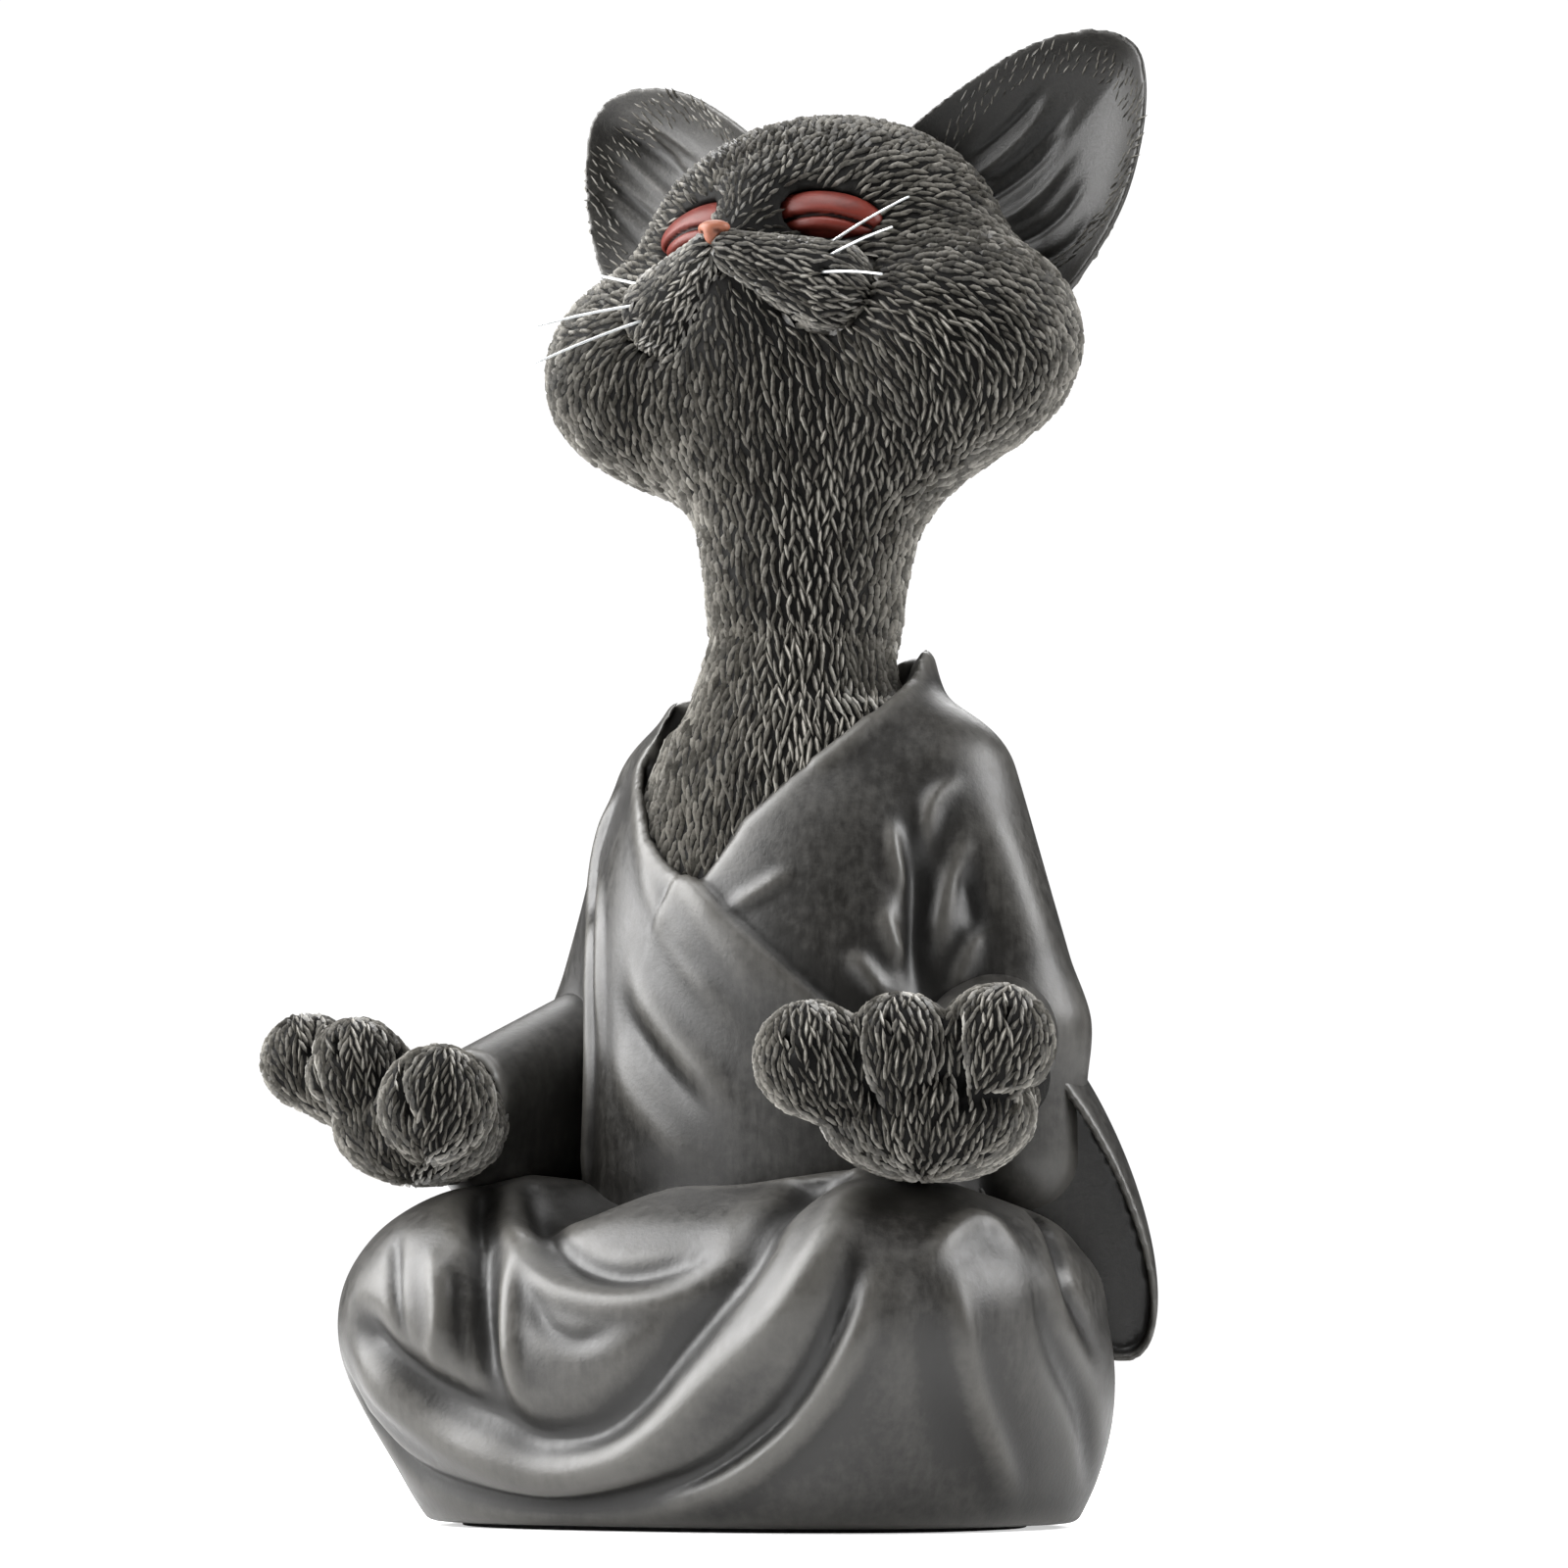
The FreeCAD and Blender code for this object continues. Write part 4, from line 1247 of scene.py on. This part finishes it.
    def eye(self, side: int, paint: bpy.types.Material) -> None:
        """Models a closed eye: a full upper lid that closes over a narrow lower one along an arched slit."""
        centre, axes = self.eye_centre(side), eye_axes(side)
        _, up, out = axes
        clay = Clay.beside(side, (1.0, 31.0), (2, 245), (27, 270), 0.4)
        clay.add(clay.ball(tuple(centre + up * 0.7 - out * 1.4), self.eye_radii, axes))
        skin = clay.surface()
        skin.relax(1)
        view = Sightline(VIEW.azimuth * side)
        slit, lid = (tuple((u * side, z) for u, z in line) for line in (self.slit, self.lower_lid))
        skin.press(clay, (Fold(slit, 0.55, 1.3, Edge.VALLEY, view, taper=0.1),
                          Fold(lid, 0.8, 0.5, Edge.RIDGE, view)))
        piece = skin.to_object(SIDES[side] + "_lid")
        # The crest darkens the slit between the lids as painted shade.
        store_number(piece, "crest", exposure(skin, 12, 0.10))
        finish_piece(piece, paint, "eyelid_paint", SIDES[side] + "_eye")

    def nose(self, paint: bpy.types.Material) -> None:
        """Models the nose leather: a broad top, a narrow foot and two nostrils."""
        clay = Clay((-7, -14, 245), (7, 4, 258), 0.3)
        clay.add(clay.ball((0, -5.4, 253.0), (3.4, 2.7, 1.6)))
        clay.add(clay.ball((0, -6.4, 251.4), (1.4, 1.5, 1.8)), 1.2)
        for side in SIDES:
            clay.cut(clay.ball((side * 2.2, -7.6, 251.9), (0.9, 1.3, 0.6)), 0.4)
        skin = clay.surface()
        skin.relax(2)
        piece = skin.to_object("nose_leather")
        # The crest darkens the nostrils as painted shade.
        store_number(piece, "crest", exposure(skin, 10, 0.12))
        finish_piece(piece, paint, "nose_paint", "nose")


class Level(Enum):
    """The three whiskers of a pad, from the top one down."""

    UPPER = "upper"
    MIDDLE = "middle"
    LOWER = "lower"


# By side and level: where the root is seen, across and up, and how far the tip lies from it.
WHISKERS = {
    (1, Level.UPPER): ((21.8, 252.2), (16.2, -0.7, 7.4)),
    (1, Level.MIDDLE): ((20.8, 249.0), (15.9, -4.8, 3.9)),
    (1, Level.LOWER): ((19.4, 245.2), (16.6, -7.2, -2.0)),
    (-1, Level.UPPER): ((-18.9, 242.9), (-20.4, 1.0, 6.2)),
    (-1, Level.MIDDLE): ((-20.0, 238.2), (-19.4, -5.0, -2.0)),
    (-1, Level.LOWER): ((-18.7, 234.8), (-19.0, -7.5, -6.4)),
}


@dataclass(frozen=True)
class Whisker:
    """A nylon bristle glued in a drilled hole."""

    side: int
    level: Level
    radius: float = 0.31
    thins_by: float = 0.25
    sag: float = 1.2
    sunk: float = 0.12
    rings: int = 15
    sides: int = 8

    @property
    def direction(self) -> np.ndarray:
        """From the root to the tip, in millimetres."""
        return np.array(WHISKERS[self.side, self.level][1])

    def root(self, clay: Clay) -> np.ndarray:
        """Where it leaves its pad.

        Args:
            clay: the pad's form.

        Returns:
            The point on the pad's surface.
        """
        across, up = WHISKERS[self.side, self.level][0]
        return VIEW.lay(clay, ((across, up), (across + 0.2, up)))[0]

    def build(self, root: np.ndarray, nylon: bpy.types.Material) -> None:
        """Makes the bristle as a round tube that thins towards its tip.

        Args:
            root: where it leaves its pad.
            nylon: its finish.
        """
        up, last, count = np.array([0.0, 0.0, 1.0]), self.rings - 1, self.sides
        places = np.linspace(-self.sunk, 1.0, self.rings)
        line = np.array([root + self.direction * t - up * (self.sag * t * t) for t in places])
        turns = np.arange(count) * 2 * math.pi / count
        points = []
        for i, point in enumerate(line):
            ahead = unit(line[min(i + 1, last)] - line[max(i - 1, 0)])
            flat = unit(np.cross(ahead, up))
            rise = np.cross(flat, ahead)
            radius = self.radius * (1.0 - self.thins_by * i / last)
            points.append(point + radius * (np.cos(turns)[:, None] * flat + np.sin(turns)[:, None] * rise))
        faces = [(i + j, i + (j + 1) % count, i + count + (j + 1) % count, i + count + j)
                 for i in range(0, last * count, count) for j in range(count)]
        ends = [tuple(range(count - 1, -1, -1)), tuple(range(last * count, self.rings * count))]
        name = f"{SIDES[self.side]}_{self.level.value}_whisker"
        mesh = bpy.data.meshes.new(name + "_bristle")
        mesh.from_pydata((np.vstack(points) * MM).tolist(), [], faces + ends)
        mesh.shade_smooth()
        finish_piece(put(name + "_bristle", mesh), nylon, "whisker_nylon", name)


EAR_FOLDS = {
    1: tuple(Fold(line, 1.3, depth, edge) for line, depth, edge in (
        (((43.1, 257.5), (50.0, 259.5), (60.0, 266.5), (67.5, 275.5)), 1.3, Edge.VALLEY),
        (((46.0, 254.0), (53.5, 255.0), (62.0, 261.0), (70.0, 271.5)), 0.9, Edge.RIDGE),
        (((48.5, 252.0), (57.0, 251.5), (65.0, 256.5), (72.0, 266.0)), 1.2, Edge.VALLEY),
        (((43.0, 262.0), (50.0, 265.0), (58.0, 272.0), (65.0, 281.0)), 0.9, Edge.RIDGE),
        (((45.0, 266.5), (51.0, 270.5), (58.0, 277.0), (64.0, 284.0)), 1.1, Edge.VALLEY),
        (((52.0, 249.0), (60.0, 247.5), (67.0, 251.0), (73.0, 259.0)), 1.0, Edge.VALLEY),
        (((50.0, 262.0), (57.0, 267.0), (64.0, 274.0), (69.5, 282.0)), 0.8, Edge.VALLEY))),
    -1: tuple(Fold(line, 1.2, depth, edge) for line, depth, edge in (
        (((-6.0, 262.0), (-12.5, 267.5), (-19.0, 272.0), (-23.5, 274.5)), 1.1, Edge.VALLEY),
        (((-8.5, 257.0), (-14.5, 262.5), (-20.5, 268.0), (-25.0, 270.5)), 0.8, Edge.RIDGE),
        (((-11.0, 252.5), (-17.0, 257.5), (-22.5, 262.5), (-26.0, 266.0)), 1.1, Edge.VALLEY),
        (((-4.0, 266.5), (-10.0, 271.5), (-16.0, 275.5), (-21.5, 277.5)), 0.8, Edge.RIDGE),
        (((-13.5, 247.5), (-19.0, 252.5), (-23.5, 257.5), (-26.5, 261.5)), 0.9, Edge.VALLEY),
        (((-9.0, 266.0), (-14.0, 270.0), (-19.0, 275.0)), 0.9, Edge.VALLEY))),
}


@dataclass
class Ear:
    """A large cupped ear."""

    side: int
    step: float = 0.6
    depth: float = 10.5
    wall: float = 3.0
    foot: Point = (35.5, 38.5, 262.2)
    leaf: Outline = ((-23.5, -9.0), (-24.7, 0.7), (-22.2, 15.2), (-17.4, 29.2), (-9.0, 40.0), (0.0, 43.6),
                     (7.6, 39.6), (15.8, 29.4), (22.0, 16.5), (25.2, 0.7), (24.0, -9.0))
    foot_corners: Outline = ((12.0, -12.0), (-12.0, -12.0))

    @property
    def root(self) -> np.ndarray:
        """The middle of the ear's foot."""
        x, y, z = self.foot
        return np.array([self.side * x, y, z])

    @property
    def axes(self) -> np.ndarray:
        """Rows: across the ear, up it, and out of its open side."""
        across = np.array([self.side * 0.727, 0.066, -0.683])
        up = np.array([self.side * 0.649, 0.258, 0.716])
        up = unit(up - across * (up @ across) / (across @ across))
        across = unit(across)
        return np.array([across, up, np.cross(across, up) * self.side])

    def clay(self) -> Clay:
        """The ear's form: a leaf-shaped shell, deepest near its foot."""
        clay = Clay.beside(self.side, (10.0, 74.0), (20, 232), (70, 302), self.step)
        offsets = [p - np.float32(c) for p, c in zip(clay.points, self.root)]
        across, up, facing = (sum(np.float32(a) * o for a, o in zip(row, offsets)) for row in self.axes)
        leaf = np.vstack([curve_through(np.array(self.leaf), 2.0), self.foot_corners])
        rim = clay.outline(across, up, leaf)
        deep = self.depth * (1.0 - np.exp(np.minimum(rim, 0.0) / 6.5)) + 2.0 * np.clip(-rim / 18.0, 0.0, 1.0)
        bend = 0.004 * across ** 2 - 0.05 * np.clip(up - 20.0, 0.0, 30.0)
        inner = facing + deep + bend
        outer = -(facing + deep + bend + self.wall + 1.6 * np.clip(-rim / 10.0, 0.0, 1.0))
        shell = -smooth_join(-inner, -outer, 0.6)
        clay.add(-smooth_join(-shell, -rim, 1.6))
        return clay

    def build(self, paints: FurPaints) -> None:
        """Models, furs and paints the ear."""
        clay = self.clay()
        skin = clay.surface()
        skin.relax(1)
        skin.press(clay, EAR_FOLDS[self.side])
        across, up, facing = self.axes
        local = (skin.points - self.root) @ self.axes.T
        inside = (skin.normals() @ facing) > 0.1
        middle = (local[:, 0] / 21.0) ** 2 + ((local[:, 1] - 12.0) / 28.0) ** 2
        flow = up + across * (0.03 * local[:, :1])
        coat = FurCoat(length=4.4, width=1.1, height=0.55, spacing=1.6, stray=0.3, seed=31)
        grows = np.where(inside, (middle > 0.62) & (middle < 1.0) & (local[:, 1] > 0.0), local[:, 2] < -7.5)
        # The near left ear is painted darker, as painted shade, and the far right ear paler, as painted light.
        size, painted_light = np.where(inside, 0.6, 0.9), 0.05 - 0.25 * self.side
        name = SIDES[self.side] + "_ear"
        piece = furred(name + "_form", skin, flow, coat, paints, grows, size, painted_light)
        finish_piece(piece, paints.stroke, "fur_paint", name)


@dataclass(frozen=True)
class PawPose:
    """How a paw is held.

    Attributes:
        palm: the middle of the palm.
        palm_radii: half its size along X, Y and Z.
        toes: middle and radius of each curled toe.
        folds: clefts between toes, the crease across the palm and the claw slits.
    """

    palm: Point
    palm_radii: Point
    toes: tuple[tuple[float, float, float, float], ...]
    folds: tuple[Fold, ...]


PAWS = {
    1: PawPose((57, -21, 77.5), (20, 19, 12),
               ((42.0, -38.0, 87.5, 10.4), (58.0, -32.5, 88.7, 10.4), (74.0, -25.0, 90.3, 10.4)), (
        Fold(((25.8, 99.7), (24.9, 91.7), (27.1, 83.8), (29.8, 80.2)), 1.3, 2.2, Edge.VALLEY, taper=0.1),
        Fold(((44.4, 99.7), (44.8, 90.8), (45.7, 82.9), (47.5, 80.2)), 1.3, 2.2, Edge.VALLEY, taper=0.1),
        Fold(((14.7, 81.2), (22.0, 80.2), (29.8, 79.8), (38.6, 78.4), (45.7, 81.1), (56.3, 83.8),
              (61.6, 86.4)), 1.8, 1.1, Edge.VALLEY, taper=0.1),
        Fold(((31.0, 99.0), (31.8, 94.2)), 0.6, 2.4, Edge.VALLEY, taper=0.3),
        Fold(((11.3, 95.5), (12.0, 90.8)), 0.6, 2.4, Edge.VALLEY, taper=0.3),
        Fold(((54.2, 101.0), (54.8, 96.4)), 0.6, 2.4, Edge.VALLEY, taper=0.3))),
    -1: PawPose((-57, -23, 77.8), (16.5, 15.5, 11.5),
                ((-43.5, -36.0, 81.3, 10.8), (-65.3, -32.0, 88.5, 9.6), (-81.5, -26.0, 90.8, 9.0)), (
        Fold(((-80.1, 98.5), (-80.9, 91.7), (-80.1, 86.3), (-78.2, 81.0)), 1.2, 2.4, Edge.VALLEY, taper=0.1),
        Fold(((-62.8, 92.0), (-63.9, 86.3), (-62.8, 81.0), (-60.1, 77.1)), 1.3, 2.6, Edge.VALLEY, taper=0.1),
        Fold(((-76.2, 94.8), (-75.5, 89.4)), 0.6, 2.4, Edge.VALLEY, taper=0.3))),
}


@dataclass
class Paw:
    """A paw, palm up: palm, three curled toes and the wrist that enters the sleeve."""

    side: int
    step: float = 0.7
    palm_share: float = 0.45
    back_line: float = 8.0

    def clay(self) -> Clay:
        """The paw's form."""
        s = self.side
        pose = PAWS[s]
        clay = Clay.beside(s, (28.0, 94.0), (-54, 58), (22, 106), self.step)
        clay.add(clay.ball(pose.palm, pose.palm_radii))
        clay.add(clay.limb((s * 57, -10, 79), (s * 54, 12, 86), 11.2, 9.5), 6.0)
        for x, y, z, radius in pose.toes:
            heel = np.array([x, y, z]) * (1.0 - self.palm_share) + np.array(pose.palm) * self.palm_share
            clay.add(clay.limb((x, y, z), tuple(heel), radius, radius - 0.8), 1.0)
        return clay

    def build(self, paints: FurPaints) -> None:
        """Models, furs and paints the paw."""
        clay, pose = self.clay(), PAWS[self.side]
        skin = clay.surface()
        skin.relax(1)
        skin.press(clay, pose.folds)
        points = skin.points
        flow = 0.35 * unit(points - np.array(pose.palm)) + np.array([0.0, 0.15, 1.0])
        coat = FurCoat(length=4.2, width=1.15, height=0.8, spacing=1.5, seed=41)
        # Fur is left off the deep creases, where the near-black ground shows as painted shade.
        grows = (points[:, 1] < self.back_line) & (exposure(skin, 12, 0.5) > 0.25)
        name = SIDES[self.side] + "_paw"
        # The last argument lifts both paws' paint a little: painted light.
        piece = furred(name + "_form", skin, flow, coat, paints, grows, 0.95, 0.05)
        finish_piece(piece, paints.stroke, "fur_paint", name)


@dataclass(frozen=True)
class Felt:
    """The felt sheet under the base."""

    thickness: float = 1.2
    half_width: float = 56.0
    front: float = -36.0
    back: float = 47.0

    def build(self, paint: bpy.types.Material) -> None:
        """Makes the sheet."""
        clay = Clay((-64, -48, -1), (64, 56, 3), 0.6)
        rows = tuple((z, self.half_width, self.front, self.back) for z in (0.0, self.thickness))
        clay.add(clay.column(rows, 2.4))
        skin = clay.surface()
        piece = skin.to_object("felt_sheet")
        store_number(piece, "crest", np.full(len(skin.points), 0.5))
        finish_piece(piece, paint, "felt", "base_felt")


# --- studio ------------------------------------------------------------------------------------------------
@dataclass(frozen=True)
class Softbox:
    """A large soft light, placed round the figurine, in metres and watts."""

    name: str
    azimuth: float
    elevation: float
    distance: float
    size: float
    power: float
    aim_height: float = 0.14

    def build(self) -> None:
        """Hangs the light, turned to the figurine."""
        turn, lift = math.radians(self.azimuth), math.radians(self.elevation)
        place = Vector((math.sin(turn) * math.cos(lift), -math.cos(turn) * math.cos(lift), math.sin(lift)))
        lamp = bpy.data.lights.new(self.name, "AREA")
        lamp.size = self.size
        lamp.energy = self.power
        holder = put(self.name, lamp)
        holder.location = place * self.distance + Vector((0.0, 0.0, self.aim_height))
        holder.rotation_euler = (-place).to_track_quat("-Z", "Y").to_euler()


@dataclass(frozen=True)
class Studio:
    """A pale floor, soft lights and the camera, which takes in a width in millimetres at the figurine."""

    frame_width: float = 306.0
    aim_across: float = 10.9
    aim_up: float = 143.9
    sensor: float = 36.0
    surround: float = 0.08
    floor_half: float = 6.0
    boxes: tuple[Softbox, ...] = (
        Softbox("left_box", -60.0, 28.0, 0.9, 0.9, 31.0),
        Softbox("right_box", 112.0, 28.0, 0.9, 0.6, 12.0),
        Softbox("top_box", -20.0, 78.0, 1.0, 0.6, 8.0),
        Softbox("back_box", 205.0, 40.0, 1.0, 0.6, 6.0),
    )

    def build(self) -> None:
        """Makes the whole studio."""
        self.floor()
        self.world()
        for box in self.boxes:
            box.build()
        self.camera()
        bpy.context.scene.view_settings.view_transform = "Standard"

    def floor(self) -> None:
        """A wide pale floor just under the resting face, glowing for the camera and dimmer near the figurine as
        a painted shadow round the base.
        """
        mesh = bpy.data.meshes.new("floor")
        signs = ((-1, -1), (1, -1), (1, 1), (-1, 1))
        corners = [(x * self.floor_half, y * self.floor_half, 0) for x, y in signs]
        mesh.from_pydata(corners, [], [(0, 1, 2, 3)])
        floor = put("floor", mesh)
        material, sheet, shader, place = new_material("floor")
        distance = sheet.add("ShaderNodeVectorMath", {0: place}, operation="LENGTH").outputs["Value"]
        seen = sheet.add("ShaderNodeLightPath").outputs["Is Camera Ray"]
        # Seen by the camera the floor glows, dimmest within 0.12 m of the middle and brightening out to 0.5 m:
        # a painted shadow round the figurine.
        glow = sheet.math("MULTIPLY", seen, sheet.span(distance, 0.12, 0.5, 0.5, 1.1))
        sheet.fill(shader, {
            "Base Color": (0.8, 0.8, 0.8, 1.0), "Roughness": 0.9, "Specular IOR Level": 0.0,
            "Emission Color": (1.0, 1.0, 1.0, 1.0), "Emission Strength": sheet.math("ADD", glow, 0.05)})
        mesh.materials.append(material)

    def world(self) -> None:
        """A surrounding that looks white and lights softly."""
        world = bpy.data.worlds.new("studio")
        bpy.context.scene.world = world
        world.use_nodes = True
        sheet = NodeSheet(world.node_tree)
        seen = sheet.add("ShaderNodeLightPath").outputs["Is Camera Ray"]
        strength = sheet.span(seen, 0.0, 1.0, self.surround, 1.05)
        glow = sheet.add("ShaderNodeBackground", {"Color": (1.0, 1.0, 1.0, 1.0), "Strength": strength})
        sheet.add("ShaderNodeOutputWorld", {"Surface": glow.outputs[0]})

    def camera(self) -> None:
        """The camera, turned towards the middle of the figurine."""
        aim = VIEW.across * self.aim_across + np.array([0.0, 0.0, self.aim_up])
        camera = bpy.data.cameras.new("camera")
        camera.sensor_width = self.sensor
        camera.lens = self.sensor * float(np.linalg.norm(aim - VIEW.eye)) / self.frame_width
        camera.clip_start, camera.clip_end = 0.01, 50.0
        holder = put("camera", camera)
        holder.location = Vector(VIEW.eye * MM)
        holder.rotation_euler = Vector(aim - VIEW.eye).to_track_quat("-Z", "Y").to_euler()
        bpy.context.scene.camera = holder


def main() -> None:
    """Builds the figurine and the studio."""
    logging.basicConfig(level=logging.INFO, format="%(message)s")
    Studio().build()
    robe_paint = RobePaint().build()
    fur = FurPaints.build()
    # The ears' ground paint is darker than the fur strokes, as painted shade in the ear hollows, and darkest in
    # the fold creases.
    ear_paint = FurPaint("ear_paint", (0.003, 0.0027, 0.0022), (0.018, 0.0168, 0.0145), (0.085, 0.080, 0.072),
                         0.95, (0.42, 0.52), 0.45).build()
    lid_paint = PlainPaint("eyelid_paint", (0.010, 0.002, 0.0015), (0.115, 0.018, 0.012), 0.42,
                           gloss=0.22).build()
    nose_paint = PlainPaint("nose_paint", (0.04, 0.013, 0.008), (0.24, 0.085, 0.048), 0.42, 1.5, 0.3).build()
    felt_paint = PlainPaint("felt", (0.01, 0.01, 0.01), (0.04, 0.04, 0.04), 0.95, 2.0, 0.1).build()
    nylon = Nylon().build()
    Robe().build(robe_paint)
    for side in SIDES:
        Sleeve(side).build(robe_paint)
        Paw(side).build(fur)
        Ear(side).build(FurPaints(fur.stroke, ear_paint))
    Head().build(fur, lid_paint, nose_paint, nylon)
    Felt().build(felt_paint)


if __name__ == "__main__":
    main()
